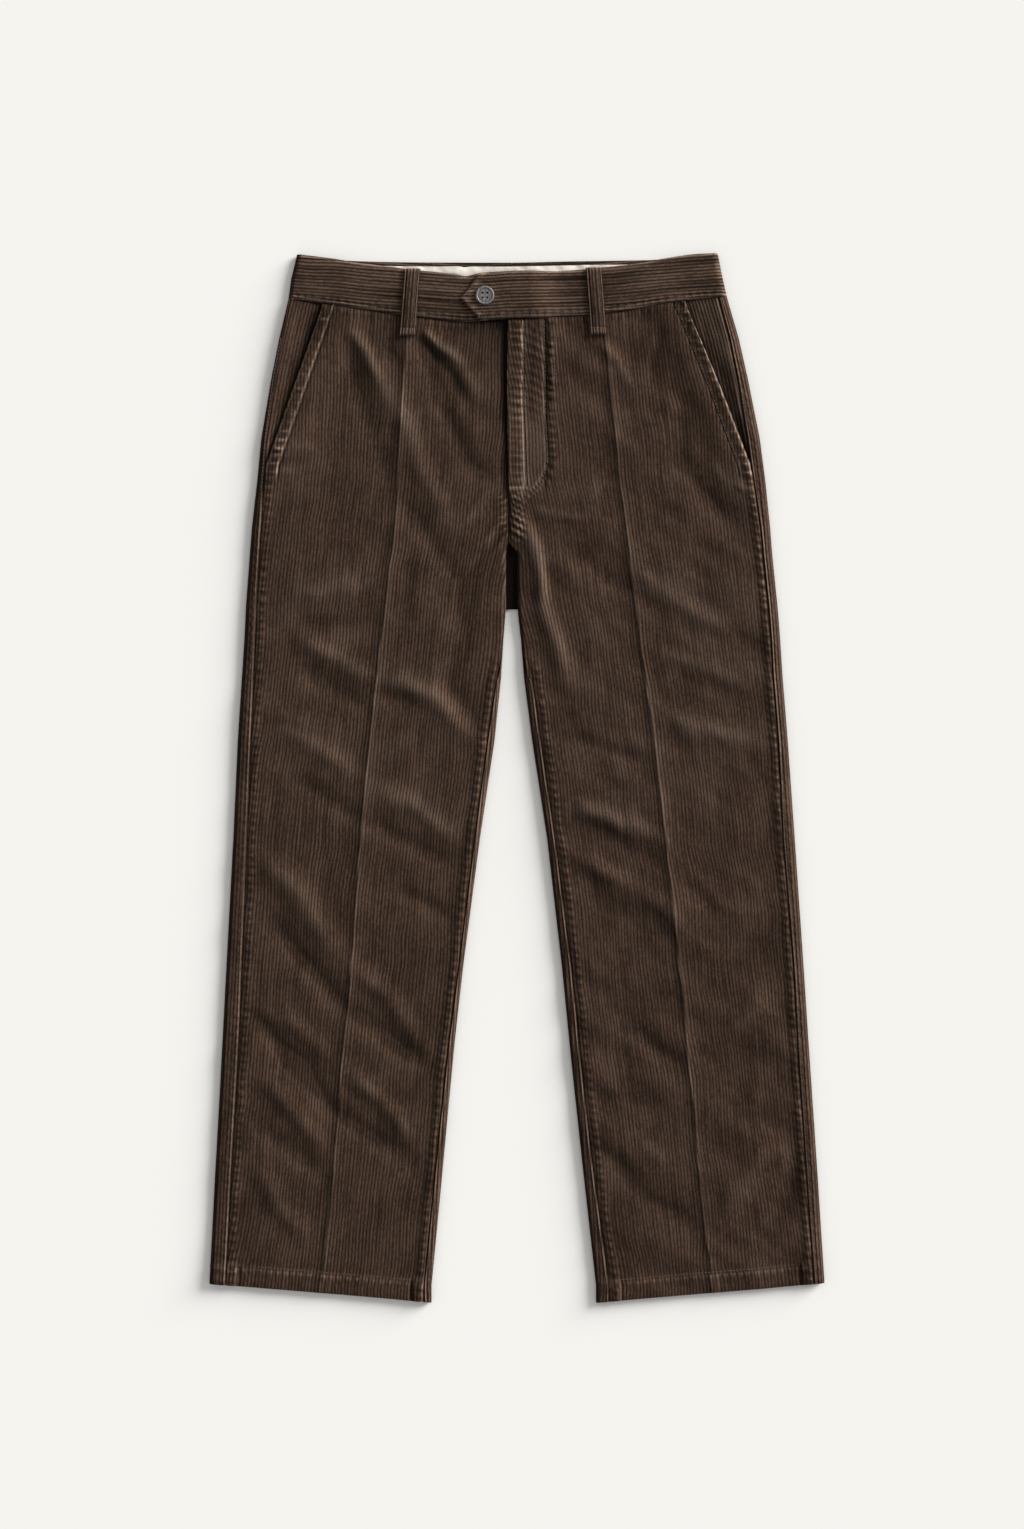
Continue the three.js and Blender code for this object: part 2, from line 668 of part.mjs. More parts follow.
// A belt loop: a strip over the waistband's top edge, bar-tacked to the front below it
const loopSpots = table("name x slant", [
  ["belt_loop_right", -104.5, -5.3],
  ["belt_loop_left", 76.5, 5],
]);
const loopWidth = 16;
const loopCrown = 0.3; // the strip is a little thicker along its middle
const tackThickness = 2.6; // folded double at the bar tack
const loopProfile = table("along rise thick", [
  [0, 0.4, loopThickness],
  [4, 0.9, loopThickness],
  [20, 1.5, loopThickness],
  [38, 1.3, loopThickness],
  [52, 0.5, loopThickness],
  [60, layerGap, tackThickness],
  [67, layerGap, tackThickness],
]);

function beltLoop(half, spot) {
  const bandTop = bandLow + bandThickness;
  const outer = [];
  const inner = [];
  const length = loopProfile.at(-1).along;
  const topY = bandFrontTop(spot.x) + 0.5;
  for (const { along, rise, thick } of loopProfile) {
    const y = topY - along;
    const middle = spot.x + (spot.slant * along) / length;
    const xs = steps(2).map((t) => middle + (t - 0.5) * loopWidth);
    const onFront = Math.max(...xs.map((x) => frontHeight(half, x, Math.min(y, bandLower(x)))));
    const low = Math.max(bandTop, onFront + layerGap) + rise;
    inner.push(xs.map((x) => [x, y, low]));
    outer.push(xs.map((x, k) => [x, y, low + thick + (k === 1 ? loopCrown : 0)]));
  }
  return wall(outer, inner);
}

// The button: a turned disc with a raised rim and four holes, on a thread shank
function makeButton() {
  const low = tabLow + bandThickness + 0.4;
  const face = button.height * 0.62;
  const profile = [
    [0, 0],
    [button.radius * 0.8, 0],
    [button.radius * 0.97, 0.6],
    [button.radius, 1.4],
    [button.radius * 0.96, 2.3],
    [button.radius - button.rim * 0.6, button.height],
    [button.radius - button.rim * 1.2, 2.2],
    [button.radius - button.rim * 1.8, face],
    [0, face],
  ].map(([r, z]) => new THREE.Vector2(r, z));
  const disc = new THREE.LatheGeometry(profile, 28).rotateX(Math.PI / 2);
  let solid = toSolid(facingOut(merged(disc)));
  for (const sx of [-0.5, 0.5]) {
    for (const sy of [-0.5, 0.5]) {
      const hole = new THREE.CylinderGeometry(button.holeRadius, button.holeRadius, 6, 8);
      hole.rotateX(Math.PI / 2).translate(sx * button.holePitch, sy * button.holePitch, 1);
      solid = solid.subtract(toSolid(hole));
    }
  }
  const post = new THREE.BoxGeometry(shank.length, shank.width, 1);
  const postLow = bandLow + bandThickness + layerGap;
  post.translate(0, 0, 0.5);
  post.scale(1, 1, low - postLow + 0.5);
  post.translate(0, 0, postLow - low);
  const geometry = toGeometry(solid.add(toSolid(post)));
  return geometry.translate(button.x, button.y, low);
}

const finish = (color, roughness) => new THREE.MeshStandardMaterial({ color, roughness, metalness: 0 });
const corduroy = finish(0x3f3229, 0.95);
const bandCorduroy = finish(0x42352c, 0.95);
const cream = finish(0xe1dad0, 0.9);
const horn = finish(0x696866, 0.45);

const trousers = new THREE.Group();

function add(name, geometry, material) {
  const mesh = new THREE.Mesh(geometry, material);
  mesh.name = name;
  trousers.add(mesh);
}

add("front_right", frontPanel(right), corduroy);
add("front_left", frontPanel(left), corduroy);
add("back_right", backPanel(right), corduroy);
add("back_left", backPanel(left), corduroy);
add("pocket_facing_right", pocketFacing(right), corduroy);
add("pocket_facing_left", pocketFacing(left), corduroy);
add("fly_underlap", flyUnderlap(), corduroy);
add("waistband_right", waistbandRight(), bandCorduroy);
add("waistband_left", waistbandLeft(), bandCorduroy);
add("waistband_lining", waistbandLining(), cream);
add("belt_loop_right", beltLoop(right, loopSpots[0]), bandCorduroy);
add("belt_loop_left", beltLoop(left, loopSpots[1]), bandCorduroy);
add("button", makeButton(), horn);

export default trousers;
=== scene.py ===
"""Corduroy trousers laid flat on a pale floor, seen from straight above.

Tables and sizes are in millimetres in the part's own frame: +Y to the waist, +X to the wearer's left, +Z up.
Every cloth piece is a wall with ribs along its grain, made from the same sections and folds as its solid.
"""
import math

import bpy
import numpy as np
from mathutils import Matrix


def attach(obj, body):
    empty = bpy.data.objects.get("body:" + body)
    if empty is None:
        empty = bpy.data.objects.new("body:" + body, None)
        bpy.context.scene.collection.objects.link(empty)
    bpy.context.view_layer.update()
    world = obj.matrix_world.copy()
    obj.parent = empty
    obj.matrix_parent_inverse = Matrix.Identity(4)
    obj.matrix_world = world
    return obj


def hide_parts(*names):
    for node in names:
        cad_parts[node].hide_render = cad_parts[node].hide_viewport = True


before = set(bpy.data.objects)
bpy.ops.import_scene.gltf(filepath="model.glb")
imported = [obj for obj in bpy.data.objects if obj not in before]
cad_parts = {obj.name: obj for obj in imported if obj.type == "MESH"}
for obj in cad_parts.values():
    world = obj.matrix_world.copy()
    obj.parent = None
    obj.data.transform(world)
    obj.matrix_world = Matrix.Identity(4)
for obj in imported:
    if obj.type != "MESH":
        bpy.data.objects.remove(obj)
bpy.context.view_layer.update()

MM = 0.001

# Sizes shared with the solids
CLOTH = 2.5
FACING_CLOTH = 1.8
BAND = 3.0
LINING = 1.0
LOOP = 1.8
GAP = 0.3
REST_HEIGHT = 6.8
SIDE_ROLL = 5.5
INNER_REACH = 3.5
CENTRE_BACK = -5.0
CROTCH_TOP = 236.0
SEAT_EDGE = 177.4
HEM_DEPTH = 21.0
MOUTH_FOOT = 306.0
MOUTH_HEIGHT = 8.2
FLY_FOOT = 288.0
FLY_HEIGHT = 7.9
LINING_LOW = BAND + GAP
BAND_LOW = LINING_LOW + LINING + GAP
TAB_LOW = BAND_LOW + BAND + GAP

# The corduroy: how far apart the ribs are and how high they stand
WALE = 3.35
RIB = 0.36
RIB_POWER = 0.7  # below 1 makes the ribs round and their valleys narrow
SAMPLES_PER_WALE = 4
ROW_STEP = 2.9
FOLD_GAIN = 2.6  # the shells' folds are this much deeper than the solids'
LIGHT_SIDE = (0.84, 0.54)  # the floor direction that the key light comes from
PUCKER = 8.5  # from swell to swell along a stitched seam
SEAT_HALF_GAP = 0.02  # the halves of the seat meet this near to its middle
INNER_WALL = 2.0  # the wall where it turns round the inner fold
TURN_GAP = 14.0  # degrees left free on each side of the inseam where it runs round the inner fold
LOWEST_TOP, HIGHEST_TOP = 2 * CLOTH + 0.35, 11.5  # the upper face stays between these heights
BAND_WIDTH = 45.0
BAND_STITCH = 3.2  # the waistband's lower stitching, above its edge


def mix(a, b, t):
    return a + (b - a) * t


def smooth(low, high, value):
    t = np.clip((np.asarray(value, float) - low) / (high - low), 0, 1)
    return t * t * (3 - 2 * t)


def bell(distance, width):
    return np.exp(-((distance / width) ** 2))


def polyline(rows, at=0, key=1):
    """Straight lines between rows, as a function of one column."""
    points = sorted(rows, key=lambda row: row[at])
    xs = [row[at] for row in points]
    ys = [row[key] for row in points]
    return lambda value: np.interp(value, xs, ys)


def curve(rows, at=0, key=1):
    """A smooth curve through the rows, with the slopes of a Catmull-Rom spline."""
    points = sorted(rows, key=lambda row: row[at])
    xs = np.array([row[at] for row in points], float)
    ys = np.array([row[key] for row in points], float)
    before = np.maximum(np.arange(len(xs)) - 1, 0)
    after = np.minimum(np.arange(len(xs)) + 1, len(xs) - 1)
    slopes = (ys[after] - ys[before]) / (xs[after] - xs[before])

    def at_value(value):
        value = np.asarray(value, float)
        i = np.clip(np.searchsorted(xs, value, "right") - 1, 0, len(xs) - 2)
        width = xs[i + 1] - xs[i]
        t = np.clip((value - xs[i]) / width, 0, 1)
        bend = t * (1 - t) * width
        return mix(ys[i], ys[i + 1], t * t * (3 - 2 * t)) + bend * (slopes[i] * (1 - t) - slopes[i + 1] * t)

    return at_value


def noise(x, y, size, seed):
    """Soft value noise from -1 to 1, the same each run."""
    grid = np.random.default_rng(seed).uniform(-1, 1, (64, 64))
    u = np.asarray(x, float) / size + 1000
    v = np.asarray(y, float) / size + 1000
    i, j = np.floor(u).astype(int), np.floor(v).astype(int)
    s, t = u - i, v - j
    s, t = s * s * (3 - 2 * s), t * t * (3 - 2 * t)
    low = mix(grid[i % 64, j % 64], grid[(i + 1) % 64, j % 64], s)
    high = mix(grid[i % 64, (j + 1) % 64], grid[(i + 1) % 64, (j + 1) % 64], s)
    return mix(low, high, t)


# Outline and side seams: y, outer edge, outseam, inseam, inner edge
RIGHT_SECTIONS = [
    (525, -220, -217, -9, -9),
    (500, -226, -223, -9, -9),
    (478, -229, -227, -9, -9),
    (440, -238, -234, -9.5, -9.5),
    (400, -246, -242, -10, -10),
    (340, -256, -250, -9.5, -9.5),
    (298, -260, -253, -9, -9),
    (250, -265.5, -256, -8.6, -8.6),
    (236, -266.5, -256.8, -8.4, -8.4),
    (224, -267.5, -257.5, -11, -11),
    (170, -271.5, -260.5, -11, -11),
    (158, -272, -261, -12, -12),
    (138, -273, -262, -14, -13.6),
    (100, -275.5, -263.5, -21, -16),
    (38, -279.5, -266, -30, -22.4),
    (-60, -284, -270, -43, -37),
    (-190, -291, -275.5, -59, -54),
    (-266, -295, -278, -69, -62.5),
    (-340, -299, -282.5, -77, -69.5),
    (-420, -303.5, -287, -85, -77),
    (-508, -308, -291.5, -93.5, -85.5),
]
LEFT_SECTIONS = [
    (525, 201, 196, -9, -9),
    (500, 206, 199, -9, -9),
    (478, 211, 202, -9, -9),
    (440, 222, 212, -9.5, -9.5),
    (400, 231, 220, -10, -10),
    (340, 243, 230, -9.5, -9.5),
    (298, 248.5, 236, -9, -9),
    (250, 253.5, 243, -8.6, -8.6),
    (236, 254.5, 244.5, -8.4, -8.4),
    (224, 255.5, 245.5, 0.5, 0.5),
    (170, 261, 251, 0.5, 0.5),
    (158, 262, 252, 1.8, 1.6),
    (138, 263.5, 253.5, 6, 4),
    (100, 266, 255.5, 15, 7),
    (38, 271, 260.5, 23.5, 15),
    (-60, 278, 265.5, 38, 30),
    (-190, 287, 276, 54.5, 45),
    (-281, 293, 281, 63.5, 54),
    (-383, 300, 288, 75, 65),
    (-508, 308, 296.5, 92, 79),
]
# The pressed crease of each front: y, x
RIGHT_CREASE = [
    (470, -109), (433, -112), (297, -119), (185, -130), (93, -141), (-23, -153), (-176, -165),
    (-336, -179), (-417, -185), (-512, -197),
]
LEFT_CREASE = [
    (470, 84), (438, 88), (338, 100), (297, 103), (195, 115.6), (93, 130), (-70, 150), (-222, 166),
    (-316, 175), (-441, 187.6), (-512, 195.7),
]
# The pocket mouths: y, x
RIGHT_MOUTH = [(474, -195), (312, -251), (298, -252.7)]
LEFT_MOUTH = [(478, 168), (440, 184), (389, 204.6), (314, 233), (298, 235.7)]
# The waistband's edges and the hems: x, y
FRONT_TOP_EDGE = [
    (-220, 524), (-187, 520), (-162, 516), (-133, 512), (-99, 508), (-63, 504), (-51, 502), (-40, 504.5),
    (3, 507), (43, 507), (98, 512), (128, 516), (149, 520), (177, 524), (201, 525),
]
BACK_TOP_EDGE = [
    (-220, 523.5), (-187, 519.5), (-172, 518), (-124, 516.5), (-57, 516), (2, 516), (43, 517),
    (130, 518.5), (149, 519.7), (177, 523.5), (201, 524.5),
]
LOWER_EDGE = [
    (-229, 479), (-196, 474.5), (-116, 463), (-55, 456), (-37, 457), (-11, 459), (29, 460.5),
    (91, 465), (157, 476), (211, 482),
]
RIGHT_HEM = [(-308, -506), (-257, -510), (-197, -515), (-137, -520), (-85, -525)]
LEFT_HEM = [(80, -525), (123, -521), (183, -516), (243, -511), (308, -505)]

# The main creases of the fronts: height, width, and the points that each runs through
FOLDS = [
    (0.8, 12, [(-172, 453), (-142, 408), (-117, 358), (-67, 248)]),
    (-0.6, 11, [(-177, 448), (-162, 398), (-142, 338), (-129, 298)]),
    (0.9, 11, [(-97, 446), (-67, 423), (-37, 378)]),
    (-0.8, 11, [(-102, 448), (-82, 388), (-52, 318), (-22, 293)]),
    (0.7, 10, [(-247, 323), (-217, 323)]),
    (-0.8, 12, [(-117, 278), (-57, 193)]),
    (-1.4, 13, [(-17, 238), (-47, 198), (-67, 88), (-47, 63)]),
    (0.8, 11, [(-217, 183), (-152, 193)]),
    (-0.8, 10, [(-217, 153), (-142, 153)]),
    (1.0, 11, [(-217, 138), (-147, 98)]),
    (1.1, 12, [(-132, 108), (-87, 83), (-47, 43)]),
    (-0.9, 11, [(-217, 108), (-152, 68)]),
    (0.8, 11, [(-232, 48), (-167, 8)]),
    (-0.9, 11, [(-222, -2), (-157, -42)]),
    (1.0, 11, [(-142, -17), (-107, -27), (-67, -57)]),
    (-1.0, 11, [(-147, -42), (-117, -62), (-67, -87)]),
    (-0.8, 10, [(-117, -112), (-72, -137)]),
    (1.2, 15, [(-252, -82), (-217, -117), (-177, -187)]),
    (-1.2, 12, [(-242, -147), (-207, -192), (-172, -232), (-87, -292)]),
    (1.1, 12, [(-167, -187), (-127, -222), (-92, -272)]),
    (1.0, 11, [(-232, -237), (-187, -282)]),
    (1.1, 11, [(-167, -297), (-127, -332), (-102, -367)]),
    (-1.2, 12, [(-262, -237), (-222, -287), (-182, -337), (-102, -387)]),
    (1.2, 12, [(-252, -302), (-217, -342), (-192, -372)]),
    (-1.0, 11, [(-267, -342), (-202, -392)]),
    (1.0, 11, [(-257, -392), (-237, -432), (-212, -457)]),
    (1.45, 12, [(3, 258), (28, 170), (50, 98)]),
    (-1.0, 12, [(43, 228), (113, 183)]),
    (1.0, 12, [(118, 203), (143, 188), (208, 148)]),
    (-1.0, 12, [(163, 368), (158, 323), (183, 288), (228, 238)]),
    (0.8, 10, [(226, 303), (236, 258)]),
    (0.7, 12, [(83, 298), (33, 278)]),
    (1.0, 12, [(148, 123), (228, 93)]),
    (1.0, 12, [(148, 58), (238, 33)]),
    (-0.9, 11, [(53, 38), (123, 18)]),
    (0.9, 13, [(53, -32), (108, -42), (138, -67)]),
    (-0.8, 13, [(53, -47), (153, -92)]),
    (1.0, 12, [(53, -77), (113, -107), (148, -132), (183, -172)]),
    (-0.7, 13, [(58, -90), (83, -122), (133, -152)]),
    (-0.7, 10, [(168, -102), (193, -127)]),
    (-1.2, 13, [(258, -162), (208, -192), (113, -237)]),
    (1.0, 14, [(253, -212), (198, -267)]),
    (-0.9, 11, [(103, -242), (163, -287)]),
    (1.1, 12, [(248, -362), (223, -412), (203, -442)]),
    (-1.1, 12, [(278, -362), (268, -432), (233, -467)]),
    (-1.0, 12, [(93, -382), (133, -422), (183, -452)]),
]

# Short sharp wrinkles by the pockets, the crotch and the knees, which the shells alone have
WRINKLES = [
    (0.9, 6.5, [(-250, 326), (-228, 335), (-206, 330)]),
    (-0.7, 6.5, [(-250, 317), (-215, 322)]),
    (0.7, 5.5, [(-252, 307), (-224, 309)]),
    (0.7, 7.0, [(-172, 452), (-150, 425), (-137, 395)]),
    (-0.7, 7.0, [(-118, 452), (-128, 430), (-122, 410)]),
    (0.8, 5.5, [(-92, 446), (-80, 432), (-58, 418)]),
    (-0.6, 7.0, [(-98, 436), (-70, 408), (-50, 372)]),
    (0.6, 7.0, [(-20, 300), (-40, 270), (-62, 250)]),
    (0.6, 5.0, [(-12, 262), (-26, 252), (-42, 236)]),
    (-0.6, 5.0, [(-12, 252), (-28, 238), (-40, 220)]),
    (0.6, 5.0, [(-13, 240), (-26, 226), (-38, 206)]),
    (0.8, 6.5, [(10, 258), (22, 222), (32, 176)]),
    (-0.6, 6.5, [(4, 240), (14, 206), (20, 170)]),
    (0.6, 5.5, [(14, 270), (40, 262), (66, 262)]),
    (0.8, 6.5, [(237, 300), (226, 318), (214, 344)]),
    (-0.6, 6.5, [(230, 296), (216, 316), (206, 338)]),
    (0.6, 5.5, [(232, 284), (214, 292), (196, 312)]),
    (0.6, 7.0, [(76, 440), (98, 420), (112, 392)]),
    (-0.6, 7.0, [(150, 452), (140, 428), (136, 396)]),
    (0.5, 9.0, [(-138, 96), (-116, 92), (-96, 84)]),
    (-0.4, 9.0, [(-150, 88), (-120, 80), (-94, 66)]),
    (0.4, 9.0, [(60, -28), (84, -34), (104, -46)]),
    (-0.4, 9.0, [(58, -40), (86, -50), (112, -70)]),
    (0.4, 9.0, [(-250, 70), (-224, 62), (-204, 48)]),
    (0.4, 9.0, [(-262, -228), (-240, -248), (-226, -272)]),
    (0.4, 9.0, [(196, -120), (220, -134), (246, -138)]),
    (0.4, 9.0, [(268, -286), (246, -300), (228, -326)]),
    (-0.4, 9.0, [(-96, -300), (-112, -322), (-134, -338)]),
]


class Half:
    """One half of the trousers: its outline, seams, crease, pocket mouth and hem."""

    def __init__(self, name, side, sections, crease, mouth, hem):
        self.name, self.side = name, side
        self.outer = polyline(sections, 0, 1)
        self.outseam = polyline(sections, 0, 2)
        self.inseam = polyline(sections, 0, 3)
        self.inner = polyline(sections, 0, 4)
        self.crease = curve(crease)
        self.mouth = polyline(mouth)
        self.hem = curve(hem)


RIGHT = Half("right", -1, RIGHT_SECTIONS, RIGHT_CREASE, RIGHT_MOUTH, RIGHT_HEM)
LEFT = Half("left", 1, LEFT_SECTIONS, LEFT_CREASE, LEFT_MOUTH, LEFT_HEM)
band_lower = curve(LOWER_EDGE)
band_front_top = curve(FRONT_TOP_EDGE)
band_back_top = curve(BACK_TOP_EDGE)
inseam_turn = polyline([(236, -90), (171, -88), (158, -35), (140, 20), (109, 89)])


def distance_to(path, x, y):
    """How far points are from a path, and how far along it the nearest place is."""
    best = np.full(np.shape(x), np.inf)
    along = np.zeros(np.shape(x))
    done = 0.0
    for (ax, ay), (bx, by) in zip(path, path[1:]):
        dx, dy = bx - ax, by - ay
        length = math.hypot(dx, dy)
        t = np.clip(((x - ax) * dx + (y - ay) * dy) / length**2, 0, 1)
        far = np.hypot(x - ax - t * dx, y - ay - t * dy)
        nearer = far < best
        best = np.where(nearer, far, best)
        along = np.where(nearer, done + t * length, along)
        done += length
    return best, along


def crease_distance(half, x, y):
    """How far points are from the pressed crease, which wanders a little."""
    return x - half.crease(y) - 1.1 * noise(x * 0, y, 21, 13)


def below_pocket(y):
    """1 below the pocket mouth's foot, 0 beside the pocket."""
    return 1 - smooth(MOUTH_FOOT - 6, MOUTH_FOOT + 6, y)


def inseam_shown(y):
    """1 where the inseam lies on the upper side, 0 where it has turned round the inner fold."""
    return 1 - smooth(104, 128, y)


def hem_swell(above_hem):
    """The hem's second layer of cloth lifts the first."""
    return 0.9 * (1 - smooth(HEM_DEPTH - 2, HEM_DEPTH + 1.5, above_hem))


def base_height(half, x, y):
    """The cloth's upper face before its edges, ribs and puckers."""
    height = np.full(np.shape(x), REST_HEIGHT)
    wobble = 5 * noise(x, y, 34, 5)
    for rise, width, path in FOLDS + WRINKLES:
        middle = (path[0][0] + path[-1][0]) / 2
        if (middle - CENTRE_BACK) * half.side < 0:
            continue
        far, along = distance_to(path, x + wobble, y - wobble)
        length = sum(math.dist(a, b) for a, b in zip(path, path[1:]))
        swell = 0.75 + 0.35 * noise(along, 0 * along + rise * 50, length / 2.2, 6)
        fade = smooth(-0.15, 0.3, along / length) * smooth(1.15, 0.75, along / length)
        height += FOLD_GAIN * rise * swell * fade * bell(far, width * 0.85)
    # Slack drawn down and inwards across each leg
    down = y + half.side * 0.62 * x
    height += 0.75 * noise(x * half.side * 0.8 - y * 0.4, down * 1.7, 46, 11)
    height += 0.3 * noise(x * half.side * 0.8 - y * 0.4, down * 1.5, 20, 12)
    from_crease = crease_distance(half, x, y)
    steep = np.where(from_crease < 0, 2.6, 7.0)
    height += 0.9 * smooth(470, 425, y) * np.exp(-np.abs(from_crease) / steep)
    height += 0.7 * bell((half.outer(y) - x) * half.side, 18)
    return height


def pucker(along, across, period, width, seed):
    """Small swells across a stitched band, uneven in length and height."""
    phase = 2 * np.pi * along / period + 1.5 * noise(along, 0 * along, period * 1.7, seed)
    lift = 0.78 + 0.22 * noise(along, 0 * along + 9, period * 2.3, seed + 1)
    return lift * smooth(-0.75, 0.75, np.cos(phase)) * bell(across - width / 2, width * 0.45)


def front_height(half, x, y):
    height = base_height(half, x, y)
    inside = (half.mouth(y) - x) * half.side
    lift = (1 - smooth(18, 48, inside)) * smooth(258, MOUTH_FOOT - 10, y)
    height = mix(height, np.maximum(height, MOUTH_HEIGHT + 0.3), lift)
    fly = smooth(FLY_FOOT - 20, FLY_FOOT + 20, y)
    from_centre = x - half.inner(y)
    if half.side > 0:
        over = (1 - smooth(31, 58, x)) * smooth(FLY_FOOT - 46, FLY_FOOT - 4, y)
        height = mix(height, np.maximum(height, FLY_HEIGHT), over) + 0.9 * bell(from_centre, 9) * fly
    else:
        height = height - 2.0 * bell(from_centre, 8) * fly
    return np.clip(height + hem_swell(y - half.hem(x)), LOWEST_TOP, HIGHEST_TOP)


# The pale on the swells' tops, and the painted shade between them
LADDER_LIGHT, LADDER_PAINTED_SHADE = 1.6, 1.35


class Marks:
    """Relief and rubbing that stitching leaves on the cloth, with painted shade in its grooves and between
    its swells, added up band by band.
    """

    def __init__(self, shape):
        self.relief, self.roll, self.worn = np.zeros(shape), np.zeros(shape), np.zeros(shape)

    # A groove in the relief, painted darker along its line as shade
    def groove(self, distance, width, depth, where=1.0, painted_shade=0.5):
        line = bell(distance, width) * where
        self.relief -= depth * line
        self.worn -= painted_shade * line

    def edge(self, distance, strength, where=1.0):
        """The rubbed line along a turned edge or beside a seam."""
        self.worn += strength * bell(distance, 1.0) * where

    def ladder(self, along, across, period, width, seed, height, where=1.0, painted_shade=LADDER_PAINTED_SHADE):
        """Small swells across a stitched band, rubbed pale on top and painted dark between as shade."""
        swell = pucker(along, across, period, width, seed) * where
        band = bell(across - width / 2, width * 0.45) * where
        self.relief += height * swell
        self.worn += LADDER_LIGHT * swell - painted_shade * band


def seam_marks(half, x, y):
    """Stitched bands of a front: grooves, puckers and turned edges, with their rubbing and painted shade."""
    side = half.side
    marks = Marks(np.shape(x))
    below = below_pocket(y)
    from_outseam = (half.outseam(y) - x) * side
    marks.groove(from_outseam, 1.0, 0.35, below, 0.2)
    marks.edge(from_outseam - 2.2, 0.35, below)
    marks.ladder(y, from_outseam - 0.5, PUCKER, 8, 21 + side, 1.1, below)
    # The pocket mouth: a turned edge, stitched 12 mm in
    mouth = (half.mouth(y) - x) * side
    in_pocket = smooth(MOUTH_FOOT - 12, MOUTH_FOOT + 2, y)
    marks.roll += 0.5 * smooth(13.0, 11, mouth) * in_pocket
    marks.groove(mouth - 13.2, 1.0, 0.5, in_pocket, 0.5)
    marks.ladder(y, mouth - 0.6, PUCKER, 10, 31 + side, 1.1, in_pocket, 0.9)
    # Painted shade: dark blobs between the swells; the band is painted paler on the right half, and the
    # mouth's edge paler on the left half, as the light falls
    blobs = smooth(-0.5, 0.6, np.cos(2 * np.pi * y / PUCKER + 2.5 * noise(y * 0, y, 20, 33)))
    marks.worn += (0.35 - 0.25 * side - 1.2 * blobs) * bell(mouth - 5.8, 3.2) * in_pocket
    marks.edge(mouth - 11.4, 0.7 + 0.4 * noise(x, y, 12, 34), in_pocket)
    marks.edge(mouth - 1.2, 0.9 + 0.3 * side, in_pocket)
    marks.roll -= 1.0 * bell(mouth, 1.0) * in_pocket
    # The inseam on the upper face
    from_inseam = (x - half.inseam(y)) * side
    on_top = inseam_shown(y)
    marks.groove(from_inseam, 1.0, 0.35, on_top, 0.2)
    marks.edge(from_inseam - 2.2, 0.35, on_top)
    marks.ladder(y, from_inseam - 1.5, PUCKER, 8, 41 + side, 1.2, on_top)
    # Under the waistband the cloth is gathered a little by its seam, and painted darker there as shade
    below_band = band_lower(x) - y
    marks.groove(below_band, 2.2, 0.9, 1.0, 1.0)
    marks.ladder(x, below_band - 1, 8, 8, 51, 0.5, 0.6)
    # The hem: a groove at its stitching and swells along it
    above_hem = y - half.hem(x)
    marks.groove(above_hem - HEM_DEPTH - 0.6, 1.2, 0.8, 1.0, 0.8)
    marks.worn += 0.22 * bell(above_hem - HEM_DEPTH + 2.6, 2.0)
    marks.edge(above_hem - 0.8, 0.3)
    marks.worn += 0.28 * bell(above_hem - HEM_DEPTH + 5, 4)
    marks.ladder(x, above_hem - HEM_DEPTH + 10, 8, 9, 61, 0.6, 0.3)
    marks.roll -= 0.9 * bell(above_hem, 1.0)
    crossing = np.minimum(from_outseam, from_inseam)
    in_hem = 1 - smooth(HEM_DEPTH - 1, HEM_DEPTH + 1, above_hem)
    marks.relief += 0.9 * smooth(13, 9, crossing) * in_hem
    marks.worn += 0.25 * smooth(13, 9, crossing) * in_hem
    marks.groove(crossing - 13, 1.2, 0.5, in_hem, 1.0)
    # The crease is rubbed, with painted shade beside it
    from_crease = crease_distance(half, x, y)
    broken = 0.6 + 0.4 * noise(x * 0, y, 33, 14)
    below_loop = smooth(470, 420, y)
    crease_wear_and_shade = 0.5 * bell(from_crease - 0.4, 1.2) * broken - 0.28 * bell(from_crease + 5, 4)
    marks.worn += crease_wear_and_shade * below_loop
    centre = x - half.inner(y)
    low_fly = smooth(CROTCH_TOP - 4, CROTCH_TOP + 12, y) * (1 - smooth(FLY_FOOT - 8, FLY_FOOT, y))
    if side > 0:
        fly_marks(marks, x, y)
        # The centre seam below the fly, drawn up into small gathers
        marks.groove(centre, 1.6, 0.9, low_fly, 0.8)
        marks.ladder(y + 0.5 * x, centre - 2, 7, 14, 71, 1.6, low_fly, 0.6)
    else:
        # The right front dips under the fly's edge, and is painted darker there as shade
        painted_slit_shade = smooth(FLY_FOOT - 10, 400, y) * (1 - smooth(456, 460, y))
        marks.worn -= 2.0 * bell(centre, 2.6) * smooth(FLY_FOOT - 10, FLY_FOOT + 20, y)
        marks.worn -= 1.2 * bell(centre, 7) * painted_slit_shade + 0.6 * bell(centre, 14) * painted_slit_shade
        # Painted shade in the corner under the waistband beside the fly
        painted_corner_shade = bell(centre, 36) * bell(below_band, 24)
        marks.worn -= 1.1 * painted_corner_shade
        marks.ladder(y - 0.4 * x, -centre, 7, 12, 72, 1.2, low_fly, 0.8)
    # The cloth is a little darker towards the hems
    marks.worn -= 0.12 * smooth(20, -160, y)
    # A fold's back is made paler than its foot, as rubbing and as painted highlight, with painted shade where
    # it sinks below the rest height
    marks.worn += 0.1 * (base_height(half, x, y) - REST_HEIGHT)
    return marks


# The fly's stitching: an inner line, the outer line with its hooked foot, and the bar tack
FLY_INNER = [(7, 458), (6, 374), (9.5, 292)]
FLY_OUTER = [
    (27, 458), (28, 404), (28.5, 360), (31, 318), (28, 305), (23, 295), (14, 285.5), (6, 281), (-8, 280),
]
FLY_EXTRA = [(37, 444), (37.5, 395)]


